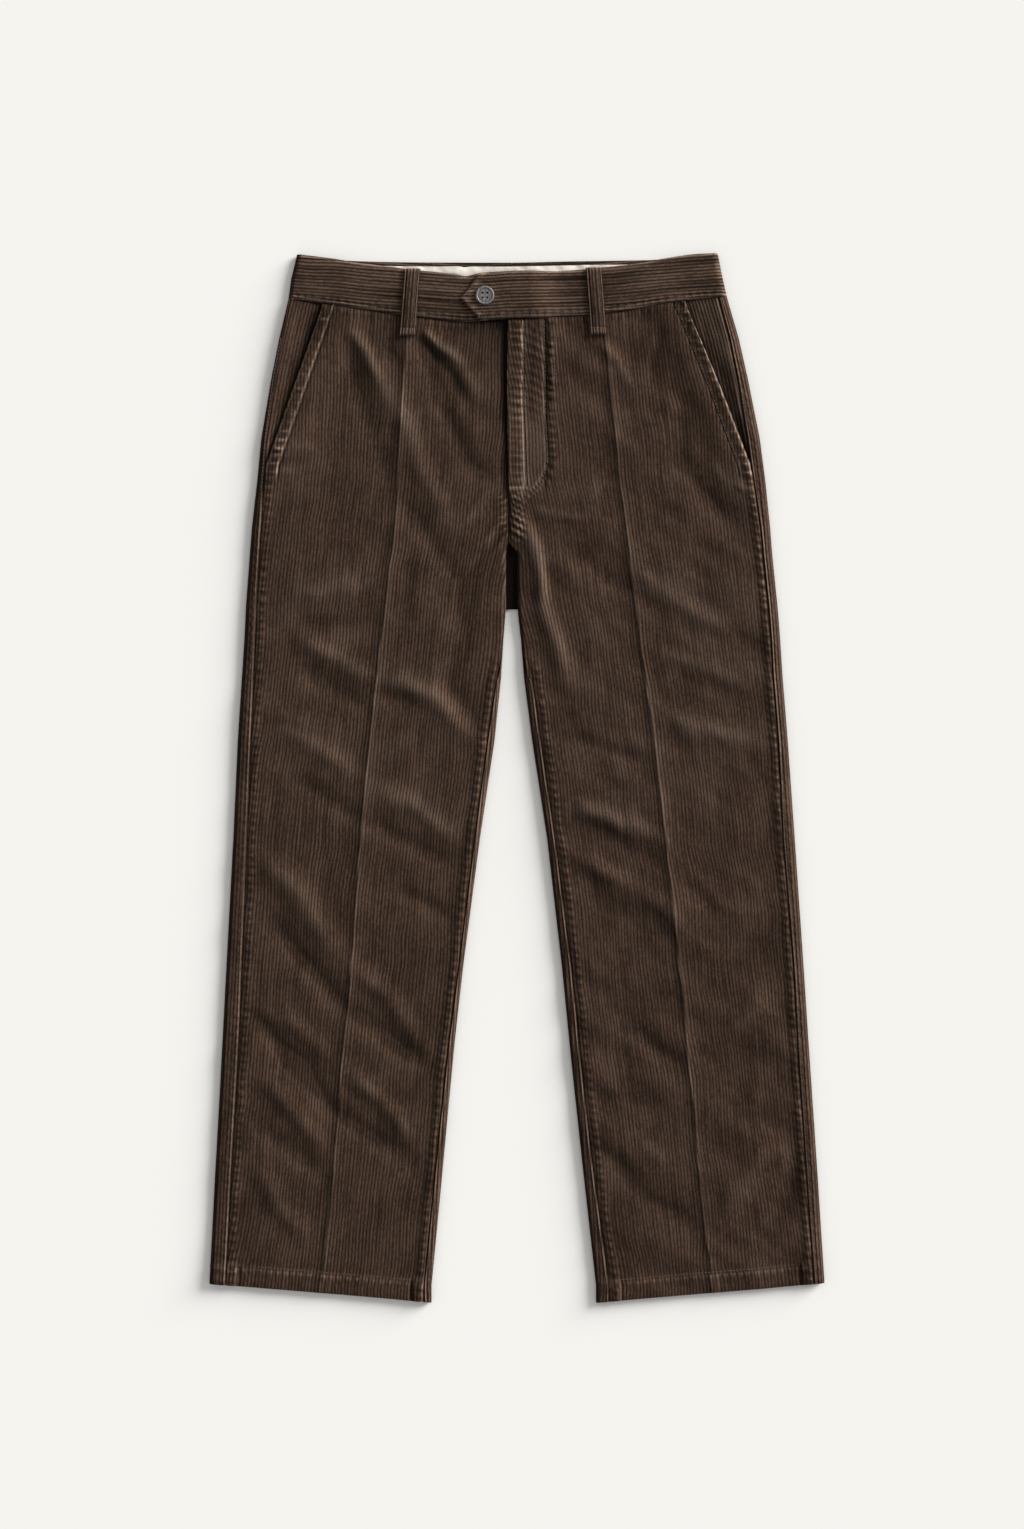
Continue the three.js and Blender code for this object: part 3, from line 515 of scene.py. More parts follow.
def fly_marks(marks, x, y):
    for path, depth in ((FLY_INNER, 0.6), (FLY_OUTER, 0.55), (FLY_EXTRA, 0.25)):
        far, _ = distance_to(path, x, y)
        marks.groove(far, 0.9, depth, 1.0, 0.9 * depth)
        marks.edge(far - 2.0, (0.8 + 0.5 * noise(x, y, 14, 24)) * depth)
    on_fly = smooth(FLY_FOOT - 5, FLY_FOOT + 5, y)
    ladder = smooth(350, 400, y) * (1 - smooth(446, 456, y))
    lower = 0.5 * smooth(292, 300, y) * (1 - ladder)
    marks.ladder(y, x + 8, 8.0, 14, 81, 1.8, ladder + lower)
    marks.ladder(y + 0.4 * x, x - 9, 9, 16, 82, 0.9, 0.8 * ladder)
    marks.ladder(y, x - 29, 7.5, 8, 84, 1.4, ladder)
    far, along = distance_to(FLY_OUTER, x, y)
    right_of = smooth(0, 2, x - 28)
    marks.ladder(along, far, PUCKER, 9, 83, 1.1, right_of * on_fly)
    marks.edge(x - 6, 0.4, on_fly)
    marks.edge(x + 7.9, 0.9, on_fly)
    tack = smooth(9, 6, np.abs(x + 2)) * smooth(8.5, 6, np.abs(y - 286))
    marks.relief += 0.6 * tack
    marks.groove(np.abs(y - 286) - 6.5, 1.0, 0.6, smooth(9, 6, np.abs(x + 2)), 0.8)
    marks.edge(np.abs(y - 286) - 4.8, 0.6, smooth(9, 6, np.abs(x + 2)))
    marks.relief -= 0.6 * bell(x + 9, 0.9) * on_fly
    marks.worn += (0.3 - 0.12 * smooth(6, 9, x)) * smooth(-9, -6, x) * smooth(31, 26, x) * on_fly


def lean(grid):
    """How far a surface leans towards the light, from -1 to 1, for painted light: its colour is painted paler
    on that side and darker on the other.
    """
    down, over = np.gradient(grid, axis=0), np.gradient(grid, axis=1)
    normal = np.cross(down, over)
    size = np.linalg.norm(normal, axis=-1)
    sound = size > 1e-3
    towards = normal[..., 0] * LIGHT_SIDE[0] + normal[..., 1] * LIGHT_SIDE[1]
    towards = towards * np.sign(normal[..., 2]) / np.maximum(size, 1e-3)
    # Points squeezed together at a row's ends take the value of the nearest sound one
    columns = np.arange(grid.shape[1])
    for row, good in zip(towards, sound):
        if good.any():
            row[:] = np.interp(columns, columns[good], row[good])
    return towards


def rib_shape(across):
    """Rounded ribs with narrow valleys, from 0 to 1."""
    return np.abs(np.sin(np.pi * across / WALE)) ** RIB_POWER


def rib_relief(across):
    return RIB * (rib_shape(across) - 0.5)


# Meshes


def quads(index, turned=False):
    """The four corners of each cell in a grid of point numbers, from either side."""
    corners = [index[:-1, :-1], index[:-1, 1:], index[1:, 1:], index[1:, :-1]]
    if turned:
        corners = [corners[k] for k in (0, 3, 2, 1)]
    return np.stack(corners, -1).reshape(-1, 4).tolist()


def new_piece(name, points, faces):
    """A smooth-shaded object; its points are given in millimetres."""
    mesh = bpy.data.meshes.new(name)
    mesh.from_pydata((np.array(points) * MM).tolist(), [], faces)
    mesh.polygons.foreach_set("use_smooth", [True] * len(mesh.polygons))
    piece = bpy.data.objects.new(name, mesh)
    bpy.context.collection.objects.link(piece)
    return piece


def build_mesh(name, outer, inner, grain, worn, row_step, column_step, bare=None, inside=0.0, kept=()):
    """A closed wall: a fine outer grid, a coarser inner one, and the rim between them."""
    rows, columns = outer.shape[:2]
    some_rows = sorted({*range(0, rows, row_step), rows - 1, *kept})
    some_columns = sorted({*range(0, columns, column_step), columns - 1})
    coarse = np.ix_(some_rows, some_columns)
    index = np.arange(rows * columns).reshape(rows, columns)
    within = rows * columns + np.arange(len(some_rows) * len(some_columns))
    within = within.reshape(len(some_rows), len(some_columns))
    faces = quads(index) + quads(within, True)
    for k, (a, b) in enumerate(zip(some_columns, some_columns[1:])):
        faces.append([*index[0, a : b + 1][::-1], within[0, k], within[0, k + 1]])
        faces.append([*index[-1, a : b + 1], within[-1, k + 1], within[-1, k]])
    for k, (a, b) in enumerate(zip(some_rows, some_rows[1:])):
        faces.append([*index[a : b + 1, 0], within[k + 1, 0], within[k, 0]])
        faces.append([*index[a : b + 1, -1][::-1], within[k, -1], within[k + 1, -1]])
    points = np.concatenate([outer.reshape(-1, 3), inner[coarse].reshape(-1, 3)])
    plain = np.zeros(within.size)
    grains = np.concatenate([grain.reshape(-1, 2), grain[coarse].reshape(-1, 2)])
    wears_and_painted_light = np.concatenate([worn.reshape(-1), plain + inside])
    painted_light_leans = np.concatenate([lean(outer if bare is None else bare).reshape(-1), plain])
    return merged_mesh(name, points, faces, grains, wears_and_painted_light, painted_light_leans)


def merged_mesh(name, points, faces, grains, wears_and_painted_light, painted_light_leans):
    """The mesh with points that coincide joined, and the faces that collapse dropped."""
    _, first, where = np.unique(np.round(points, 4), axis=0, return_index=True, return_inverse=True)
    where = where.reshape(-1).tolist()
    kept = []
    for face in faces:
        corners = [where[i] for i in face]
        corners = [c for c, before in zip(corners, [corners[-1], *corners[:-1]]) if c != before]
        if len(corners) > 2 and len(set(corners)) == len(corners):
            kept.append(corners)
    piece = new_piece(name, points[first], kept)
    mesh = piece.data
    layer = mesh.attributes.new("grain", "FLOAT_VECTOR", "POINT")
    flat = np.zeros((len(first), 3), np.float32)
    flat[:, :2] = grains[first]
    layer.data.foreach_set("vector", flat.reshape(-1))
    # Per point: rubbing with painted highlights and painted shade, and the painted light from how the surface
    # leans
    for key, values in (("worn", wears_and_painted_light), ("lean", painted_light_leans)):
        layer = mesh.attributes.new(key, "FLOAT", "POINT")
        layer.data.foreach_set("value", values[first].astype(np.float32))
    mesh.set_sharp_from_angle(angle=math.radians(70))
    mesh.update()
    return piece


class Columns:
    """The columns of a wall's grids, gathered one by one across a panel."""

    def __init__(self):
        self.skins, self.bares, self.insides, self.grains, self.wears_and_painted_light = [], [], [], [], []

    def add(self, skin, inside, grain, worn, rib):
        x, y, z = skin
        self.skins.append(np.stack([x, y, z + rib], -1))
        self.bares.append(np.stack([x, y, z], -1))
        self.insides.append(np.stack(inside, -1))
        self.grains.append(np.stack(grain, -1))
        self.wears_and_painted_light.append(worn + 0 * x)

    def mesh(self, name, row_step, column_step, inside=0.0, kept=()):
        grids = [np.stack(part, 1) for part in (self.skins, self.insides, self.grains, self.wears_and_painted_light)]
        return build_mesh(name, *grids, row_step, column_step, np.stack(self.bares, 1), inside, kept)


def place(piece, material, slot, *nodes):
    """Gives a piece its material and body, and hides the solids that it stands for; the slot is not used."""
    piece.data.materials.append(material)
    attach(piece, "root")
    if nodes:
        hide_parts(*nodes)
    return piece


def row_y(half, part, x):
    return mix(band_lower(x) - GAP, half.hem(x), part)


TOP_LEVEL, HEM_LEVEL = 467.0, -515.0
even_levels = np.linspace(TOP_LEVEL, HEM_LEVEL, round((TOP_LEVEL - HEM_LEVEL) / ROW_STEP))
even_levels = even_levels[np.abs(even_levels - SEAT_EDGE) > 0.8]
LEVELS = np.sort(np.append(even_levels, [SEAT_EDGE + 0.1, SEAT_EDGE - 0.1]))[::-1]
PARTS = (TOP_LEVEL - LEVELS) / (TOP_LEVEL - HEM_LEVEL)


def fold_point(edge, side, reach, low, high, angle):
    """x and z on a rounded fold, turned by an angle from its side: 90 is its top."""
    turn = np.radians(angle)
    middle, rise = (low + high) / 2, (high - low) / 2
    return edge - side * (reach - reach * np.cos(turn)), middle + rise * np.sin(turn)


def make_front(half, material):
    part = PARTS[:, None]
    parted = LEVELS < CROTCH_TOP
    turn = np.where(parted, inseam_turn(LEVELS), 90)
    wraps = turn < 89
    inner_y = row_y(half, PARTS, half.inner(LEVELS))
    edge = half.inner(inner_y)
    start = np.where(parted & ~wraps, half.inseam(inner_y), edge) + half.side * GAP / 2
    start = np.where(wraps, edge + half.side * INNER_REACH, start)
    out_y = row_y(half, PARTS, half.outseam(LEVELS))
    end = np.where(out_y > MOUTH_FOOT, half.mouth(out_y), half.outseam(out_y) - half.side * GAP / 2)
    # Columns follow the ribs, and stop where they run into the panel's edges
    step = WALE / SAMPLES_PER_WALE
    crease = half.crease(LEVELS)
    low = math.floor(min((start - crease).min(), (end - crease).min()) / step)
    high = math.ceil(max((start - crease).max(), (end - crease).max()) / step)
    across = np.arange(low, high + 1) * step
    if half.side < 0:
        across = across[::-1]
    left_x, right_x = np.minimum(start, end)[:, None], np.maximum(start, end)[:, None]
    x = np.clip(crease[:, None] + across[None, :], left_x, right_x)
    y = row_y(half, part, x)
    z = front_height(half, x, y)
    on_flat = smooth(0, 5, np.abs(x - half.inner(y))) + inseam_shown(y) + smooth(CROTCH_TOP, 250, y)
    on_flat = np.clip(on_flat, 0, 1)
    marks = seam_marks(half, x, y)
    skin_z = z + marks.relief * on_flat
    bare = np.stack([x, y, skin_z], -1)
    skin_z = skin_z + marks.roll * on_flat
    grain_x = x - half.crease(y) + grain_sway(x, y)
    edge_distance = np.minimum(np.abs(x - left_x), np.abs(x - right_x))
    skin_z += rib_relief(grain_x) * smooth(0, 1.0, edge_distance)
    outer = np.stack([x, y, skin_z], -1)
    inner = np.stack([x, y, np.maximum(z - CLOTH, CLOTH + 0.2)], -1)
    # The cloth turned down along the inner fold, collapsed where there is none
    count = 7
    foot = (CLOTH + GAP) * smooth(150, SEAT_EDGE, LEVELS)
    top = front_height(half, start, row_y(half, PARTS, start))
    inner_edge = edge + half.side * INNER_WALL
    inner_top = np.maximum(top - CLOTH, foot + 2.2)
    fold_outer, fold_inner = [], []
    for t in np.linspace(0, 1, count)[:-1]:
        angle = mix(turn + TURN_GAP, 90, t)
        fx, fz = fold_point(edge, -half.side, INNER_REACH, foot, top, angle)
        ix, iz = fold_point(inner_edge, -half.side, INNER_REACH - INNER_WALL, foot + 2, inner_top, angle)
        fold_outer.append(np.stack([fx, row_y(half, PARTS, fx), fz], -1))
        fold_inner.append(np.stack([ix, row_y(half, PARTS, ix), iz], -1))
    fold_outer, fold_inner = np.stack(fold_outer, 1), np.stack(fold_inner, 1)
    flat = ~wraps
    fold_outer[flat] = outer[flat][:, :1]
    fold_inner[flat] = inner[flat][:, :1]
    bare = np.concatenate([fold_outer, bare], 1)
    outer = np.concatenate([fold_outer, outer], 1)
    inner = np.concatenate([fold_inner, inner], 1)
    arc = INNER_REACH * np.radians(90 - np.linspace(0, 90, count))[None, :-1]
    fold_grain = np.where(flat[:, None], grain_x[:, :1], grain_x[:, :1] - half.side * arc)
    grain = np.stack([np.concatenate([fold_grain, grain_x], 1), outer[..., 1]], -1)
    # The turned-down fold is painted darker as shade towards the crotch
    fold_painted_shade = -1.3 * smooth(100, 150, LEVELS)[:, None] * np.linspace(1, 0, count)[None, :-1]
    worn = np.concatenate([fold_painted_shade, marks.worn], 1)
    piece = build_mesh(f"front_{half.name}_cloth", outer, inner, grain, worn, 8, 10, bare)
    place(piece, material, "corduroy", f"front_{half.name}")
    return piece


def grain_sway(x, y):
    """The grain leans a little this way and that where the cloth is pulled."""
    return 2.6 * noise(x, y, 62, 3) + 0.9 * noise(x, y, 23, 4)


# This value also paints the inner faces near-black as shade
INSIDE_PAINTED_SHADE = -2.0  # marks the points of an inner face


def shade_inside(piece, material):
    """The cloth's inner face, which shows between the legs, gets its own near-black material as painted
    shade.
    """
    piece.data.materials.append(material)
    worn = np.empty(len(piece.data.vertices), np.float32)
    piece.data.attributes["worn"].data.foreach_get("value", worn)
    for polygon in piece.data.polygons:
        if all(worn[i] < INSIDE_PAINTED_SHADE + 0.1 for i in polygon.vertices):
            polygon.material_index = 1


def underside(half, x, y, inwards):
    """The hollows that folds leave in the face it lies on, their rubbing, and painted shade in the hollows.
    """
    turned = base_height(half, x * 0.96 + 4, y * 0.97 + 34) - REST_HEIGHT
    hollow = 1.9 * smooth(0.2, 2.6, turned) + 1.1 * smooth(0.1, 1.4, -turned)
    from_crease = np.abs(x - half.crease(y))
    below_band = band_lower(x) - y
    above_hem = y - half.hem(x)
    hollow = hollow + 0.4 * bell(from_crease - 4, 3) + 0.7 * bell(above_hem - HEM_DEPTH, 2.0)
    hollow = np.minimum(hollow, 1.9) * inwards * smooth(0, 12, below_band)
    worn = 0.25 * bell(from_crease, 3.0) + 0.4 * bell(above_hem - HEM_DEPTH + 2.5, 2.0) - 0.5 * hollow
    return hollow, worn


def make_back(half, material, painted_shade_inside_material):
    side = half.side
    y_outer = row_y(half, PARTS, half.outer(LEVELS))
    edge = half.outer(y_outer)
    seam = half.outseam(row_y(half, PARTS, half.outseam(LEVELS))) + side * GAP / 2
    reach = np.minimum(SIDE_ROLL, (edge - seam) * side - 0.4)
    tangent = edge - side * reach
    columns = Columns()

    def add(x, z, ix, iz, across, worn, rib=0):
        y = row_y(half, PARTS, x)
        columns.add((x, y, z), (ix, row_y(half, PARTS, ix), iz), (across, y), worn, rib)

    below = below_pocket(LEVELS)
    for t in np.linspace(0, 1, 16)[:-1]:
        x = mix(seam, tangent, t)
        y = row_y(half, PARTS, x)
        from_seam = np.abs(x - seam)
        across = np.abs(edge - x)
        z = strip_height(half, x, y)
        swell = pucker(y, from_seam - 1, PUCKER, 8, 91 + side)
        lift = 0.4 * bell(from_seam - 1.6, 1.0) - 0.35 * bell(from_seam, 0.8) + 0.7 * swell
        rib = rib_relief(across) * smooth(0.4, 2.0, from_seam)
        # The strip's edge is rubbed pale, painted paler on the left half as the light falls, with painted
        # shade beside the seam and a dark line at the seam
        rubbed = (0.7 + 0.15 * side) * bell(from_seam - 1.8, 0.8) + 0.25 * swell * below
        rubbed = rubbed - 0.3 * bell(from_seam - 4, 5) - 1.0 * bell(from_seam, 0.4)
        add(x, z + lift, x, z - CLOTH, across, rubbed, rib)
    high = strip_height(half, tangent, y_outer)
    thick = np.minimum(CLOTH, reach * 0.85)
    for angle in np.linspace(90, -90, 15):
        x, z = fold_point(edge, side, reach, 0, high, angle)
        ix, iz = fold_point(edge - side * thick, side, reach - thick, CLOTH, high - CLOTH, angle)
        across = reach - reach * math.radians(90 - angle)
        facing_up = max(math.sin(math.radians(angle)), 0)
        shade = (1.1 if side > 0 else 0.2) * (1 - facing_up)
        add(x, z, ix, iz, across, -shade, rib_relief(across) * facing_up)
    # The underside lies flat; it runs to the seat seam, or round the inner fold to the inseam
    seat = LEVELS > SEAT_EDGE
    flat_end = half.inner(LEVELS) + side * INNER_REACH * 2
    inner_y = row_y(half, PARTS, half.inner(LEVELS))
    inner_edge = half.inner(inner_y)
    under_end = np.where(seat, flat_end, inner_edge + side * INNER_REACH)
    for t in np.linspace(0, 1, 58)[1:-1]:
        x = mix(tangent, under_end, t)
        y = row_y(half, PARTS, x)
        hollow, crease_wear_and_hollow_shade = underside(half, x, y, smooth(0, 0.12, min(t, 1 - t)))
        across = x - half.crease(LEVELS) + grain_sway(x, y)
        add(x, hollow, x, 0 * x + CLOTH, across, crease_wear_and_hollow_shade)
    turn = inseam_turn(LEVELS)
    last = np.where(turn < 89, turn - TURN_GAP, 90)
    start = inner_edge + side * INNER_REACH
    top = front_height(half, start, inner_y)
    seat_end = CENTRE_BACK + side * SEAT_HALF_GAP
    for t in np.linspace(0, 1, 12):
        angle = mix(-90, last, t)
        x, z = fold_point(inner_edge, -side, INNER_REACH, 0, top, angle)
        within = inner_edge + side * INNER_WALL
        ix, iz = fold_point(within, -side, INNER_REACH - INNER_WALL, CLOTH, top - CLOTH, angle)
        sx = mix(flat_end, seat_end, t)
        x, ix = np.where(seat, sx, x), np.where(seat, sx, ix)
        z, iz = np.where(seat, 0, z), np.where(seat, CLOTH, iz)
        across = np.where(seat, x - half.crease(LEVELS), INNER_REACH * np.radians(angle) - 0.06 * LEVELS)
        from_seat_seam = np.abs(x - seat_end)
        seat_worn = 0.4 * bell(from_seat_seam - 2.2, 1.0) - 1.2 * bell(from_seat_seam, 0.7)
        turned = 1 - np.maximum(np.sin(np.radians(angle)), 0)
        # The fold round the inner edge is painted darker as shade towards the crotch, and on the right half
        # where it turns under
        fold_painted_shade = -1.0 * np.maximum(smooth(100, 150, LEVELS), 0.9 * turned * (side < 0))
        add(x, z, ix, iz, across, np.where(seat, seat_worn, fold_painted_shade))
    seam_x = half.inseam(row_y(half, PARTS, half.inseam(LEVELS))) - side * GAP / 2
    curled = seat | (turn < 89)
    for t in np.linspace(0, 1, 13)[1:]:
        x = np.where(curled, columns.skins[-1][:, 0], mix(start, seam_x, t))
        y = row_y(half, PARTS, x)
        across = INNER_REACH * math.pi / 2 + np.abs(x - start) - 0.06 * LEVELS
        from_seam = np.abs(x - seam_x)
        z = front_height(half, x, y)
        rib = rib_relief(across) * smooth(0.3, 1.5, from_seam)
        lift = 0.5 * bell(from_seam - 1.5, 1.0) - 0.35 * bell(from_seam, 0.8)
        out_z = np.where(curled, columns.bares[-1][:, 2], z + lift)
        in_z = np.where(curled, columns.insides[-1][:, 2], z - CLOTH)
        ix = np.where(curled, columns.insides[-1][:, 0], x)
        worn = np.where(curled, 0, 0.8 * bell(from_seam - 1.6, 0.8) - 1.0 * bell(from_seam, 0.4) - 0.35)
        add(x, out_z, ix, in_z, across, worn, np.where(curled, 0, rib))
    last_seat = int(np.flatnonzero(seat)[-1])
    # The back's inner faces are painted near-black as shade
    piece = columns.mesh(f"back_{half.name}_cloth", 6, 1, INSIDE_PAINTED_SHADE, (last_seat, last_seat + 1))
    place(piece, material, "corduroy", f"back_{half.name}")
    shade_inside(piece, painted_shade_inside_material)
    return piece


def strip_height(half, x, y):
    above_hem = y - half.hem(x)
    swell = hem_swell(above_hem) - 0.7 * bell(above_hem - HEM_DEPTH, 1.2) - 0.9 * bell(above_hem, 1.0)
    swell = swell + 0.7 * (1 - smooth(HEM_DEPTH - 3, HEM_DEPTH, above_hem))
    return np.clip(base_height(half, x, y) + swell, LOWEST_TOP, HIGHEST_TOP)


def make_facing(half, material):
    """The cloth under the slanting pocket mouth."""
    foot, tuck = 312.0, 15.0
    parts = np.linspace(0, 1, 56)
    level = mix(TOP_LEVEL, foot, parts)
    columns = 110
    seam = half.outseam(mix(band_lower(half.outseam(level)), foot, parts)) - half.side * GAP / 2
    under = half.mouth(level) - half.side * tuck
    x = mix(seam[:, None], under[:, None], np.linspace(0, 1, columns)[None, :])
    y = mix(band_lower(x) - 2 * GAP, foot, parts[:, None])
    shown = np.clip((x - half.mouth(y)) / (half.outseam(y) - half.mouth(y)), 0, 1)
    low = MOUTH_HEIGHT - CLOTH - 0.7
    at_seam = np.arange(columns)[None, :] == 0
    z = mix(low, strip_height(half, x, y), np.where(at_seam, 1, smooth(0.15, 1, shown)))
    z = z + 0.5 * noise(x, y * 0.6, 15, 15) * smooth(0, 0.3, shown) * smooth(1, 0.7, shown)
    across = np.abs(half.outer(y) - x)
    from_seam = np.abs(x - seam[:, None])
    below_band = band_lower(x) - y
    relief = 0.5 * rib_relief(across) * smooth(0.3, 2, from_seam)
    relief += -0.5 * bell(from_seam, 1.2) - 0.7 * bell(below_band, 1.6)
    outer = np.stack([x, y, z + relief], -1)
    inner = np.stack([x, y, z - FACING_CLOTH], -1)
    grain = np.stack([across, y], -1)
    from_mouth = (x - half.mouth(y)) * half.side
    # Painted shade beside the mouth, at the seam and under the band; the right half is painted darker than
    # the left, as the light falls
    shade = 1.3 * bell(from_mouth, 3) + 0.4 * bell(from_mouth, 10) + 0.3 * bell(from_seam, 2)
    worn = -0.08 + 0.28 * half.side - shade - 0.5 * bell(below_band, 3) + 0.8 * bell(from_seam - 1.4, 0.9)
    bare = np.stack([x, y, z], -1)
    piece = build_mesh(f"pocket_facing_{half.name}_cloth", outer, inner, grain, worn, 5, 10, bare)
    place(piece, material, "corduroy", f"pocket_facing_{half.name}")
    return piece


def make_band(half, front_end, low_level, material):
    """Half of the waistband: over the front, round the side, and back under the lining."""
    side = half.side
    v = np.linspace(0, 1, 60)
    up, down = v * BAND_WIDTH, (1 - v) * BAND_WIDTH
    side_y = mix(band_lower(half.outer(478)), band_front_top(half.outer(525)), v)
    edge = half.outer(side_y)
    tangent = edge - side * SIDE_ROLL
    end = front_end(v)
    crown = BAND - 0.5 + 0.5 * np.sin(np.pi * v) ** 0.5
    seam_end = CENTRE_BACK + side * GAP / 2
    columns = Columns()
    edges = -0.9 * bell(up, 1.2) - 0.9 * bell(down, 1.2) - 0.45 * bell(up - 4.5, 0.9)
    edge_wear = 0.8 * bell(up - 1.4, 1.2) + 0.3 * bell(down - 1.2, 1.0)

    def add(x, y, z, ix, iz, across, worn, rib=0):
        columns.add((x, y, z), (ix, y, iz), (across, x), worn, rib)

    def ribs_at(x, y):
        across = y - band_lower(x) * 0.55 + 0.8 * noise(x, y, 30, 7)
        return across, 0.9 * rib_relief(across)

    count = 130 if side > 0 else 100
    for t in np.linspace(0, 1, count):
        x = mix(end, tangent, t)
        y = mix(band_lower(x), band_front_top(x), v)
        low = low_level(x)
        across, rib = ribs_at(x, y)
        drawn_in = pucker(x, up - 1, 8, 7, 18)
        round_tip = pucker(up, np.abs(x - end), 7, 9, 19) * (side > 0)
        wave = 0.4 * noise(x, y, 26, 17) + 0.45 * drawn_in + 0.5 * round_tip
        tip = 0.8 * bell(np.abs(x - end), 1.2) if side > 0 else 0
        rib = rib * (1 - bell(np.abs(x - end), 1.0))
        z = low + crown + wave + edges - tip
        worn = edge_wear + (0.8 * bell(np.abs(x - end) - 1.0, 1.1) if side > 0 else 0)
        worn = worn + 0.4 * drawn_in + 0.9 * round_tip - 0.2 * bell(up - 4, 4)
        add(x, y, z, x, low + 0 * x, across, worn, rib)
    high = BAND_LOW + crown
    for angle in np.linspace(90, -90, 14)[1:-1]:
        x, z = fold_point(edge, side, SIDE_ROLL, 0, high, angle)
        hollow = edge - side * BAND
        ix, iz = fold_point(hollow, side, SIDE_ROLL - BAND, BAND, BAND_LOW + 0 * x, angle)
        top = mix(band_front_top(x), band_back_top(x), (90 - angle) / 180)
        y = mix(band_lower(x), top, v)
        across, rib = ribs_at(x, y)
        add(x, y, z, ix, iz, across, edge_wear, rib * max(math.sin(math.radians(angle)), 0))
    for t in np.linspace(0, 1, 40):
        x = mix(tangent, seam_end, t)
        y = mix(band_lower(x), band_back_top(x), v)
        across, _ = ribs_at(x, y)
        add(x, y, 0 * x, x, BAND + 0 * x, across, 0 * x)
    piece = columns.mesh(f"waistband_{half.name}_cloth", 4, 2)
    place(piece, material, "corduroy", f"waistband_{half.name}")
    return piece


TAB_POINT, TAB_CORNER = -57.0, -38.0


def tab_end(v):
    return mix(TAB_POINT, TAB_CORNER, np.abs(v - 0.5) * 2)


def tab_low(x):
    return mix(TAB_LOW, BAND_LOW, smooth(12, 45, x))


def plain_end(v):
    """The right half ends straight, under the tab."""
    return 0 * v - 6.0


def plain_low(x):
    return BAND_LOW + 0 * x


def make_lining(material):
    """The cream lining inside the back waistband, slightly crinkled above the front's edge."""
    x = np.linspace(-190, 150, 180)[None, :]
    v = np.linspace(0, 1, 40)[:, None]
    top = np.minimum(band_back_top(x) - 4.2, band_front_top(x) + 9)
    y = mix(band_lower(x) + 2, top, v)
    free = smooth(-1, 3, y - band_front_top(x))
    crinkle = 0.9 * noise(x + y * 0.8, y * 0.5, 7, 19) + 0.5 * noise(x, y, 19, 20)
    z = LINING_LOW + LINING + free * (0.6 + crinkle)
    x = x + 0 * v
    outer = np.stack([x, y, z], -1)
    inner = np.stack([x, y, z - LINING], -1)
    grain = np.stack([x, y], -1)
    piece = build_mesh("waistband_lining_cloth", outer, inner, grain, 0 * x, 5, 6)
    place(piece, material, "lining", "waistband_lining")
    return piece


def make_underlap(material):
    x, y = np.meshgrid(np.linspace(-8.3, 28, 40), np.linspace(452, 292, 60))
    shorter = 14 * ((452 - y) / 160) ** 3
    x = -8.3 + (x + 8.3) * (36.3 - shorter) / 36.3
    z = CLOTH + GAP + FACING_CLOTH + 0 * x
    outer = np.stack([x, y, z + 0.2 * (rib_shape(x) - 0.5)], -1)
    inner = np.stack([x, y, z - FACING_CLOTH], -1)
    # The underlap is painted a little darker, as shade under the fly
    piece = build_mesh("fly_underlap_cloth", outer, inner, np.stack([x, y], -1), 0 * x - 0.5, 5, 5)
    place(piece, material, "corduroy", "fly_underlap")
    return piece


LOOP_WIDTH = 16.0
LOOP_PROFILE = [(0, 0.4), (4, 0.9), (20, 1.5), (38, 1.3), (52, 0.5), (60, 0.3), (67, 0.3)]
LOOP_LENGTH = 67.0


def make_loop(half, top_x, slant, material):
    rise = curve(LOOP_PROFILE)
    along = np.linspace(0, LOOP_LENGTH, 90)[:, None]
    across = np.linspace(-0.5, 0.5, 41)[None, :] * LOOP_WIDTH
    top_y = band_front_top(top_x) + 0.5
    y = top_y - along + 0 * across
    middle = top_x + slant * along / LOOP_LENGTH
    x = middle + across
    on_front = front_height(half, x, np.minimum(y, band_lower(x)))
    under = np.maximum(BAND_LOW + BAND, on_front.max(1, keepdims=True) + GAP) + rise(along)
    thick = LOOP + 0.9 * smooth(58, 60.5, along) + 0.3
    from_side = LOOP_WIDTH / 2 - np.abs(across)
    sides = 0.6 * bell(from_side, 0.8)
    ends = 1.0 * bell(along, 1.3) + 0.9 * bell(LOOP_LENGTH - along, 1.1) + 0.6 * bell(along - 59.4, 0.8)
    seam = 0.5 * bell(np.abs(across) - 5.6, 0.6)
    rib = rib_relief(across + WALE / 2) * (1 - 0.8 * smooth(58, 61, along))
    z = under + thick - sides - ends - seam + 0.15 * noise(x, y, 9, 23)
    bare = np.stack([x, y, z], -1)
    outer = np.stack([x, y, z + rib], -1)
    inner = np.stack([x, y, under + 0 * x], -1)
    grain = np.stack([across + WALE / 2 + 0 * along, y], -1)
    # Rubbed pale edges, with painted shade along the loop's sides, at its fold and along its middle seams
    worn = 0.5 * bell(from_side - 1.0, 0.8) + 0.5 * bell(LOOP_LENGTH - along - 1, 1.0)
    worn = worn - 0.9 * bell(from_side, 0.7) - 0.9 * bell(along - 59.4, 1.0)
    worn = worn - 0.5 * bell(np.abs(across) - 5.2, 0.7) + 0.2 * bell(along - 63, 2)
    piece = build_mesh(f"belt_loop_{half.name}_cloth", outer, inner, grain, worn, 6, 5, bare)
    place(piece, material, "corduroy", f"belt_loop_{half.name}")
    return piece


# Materials


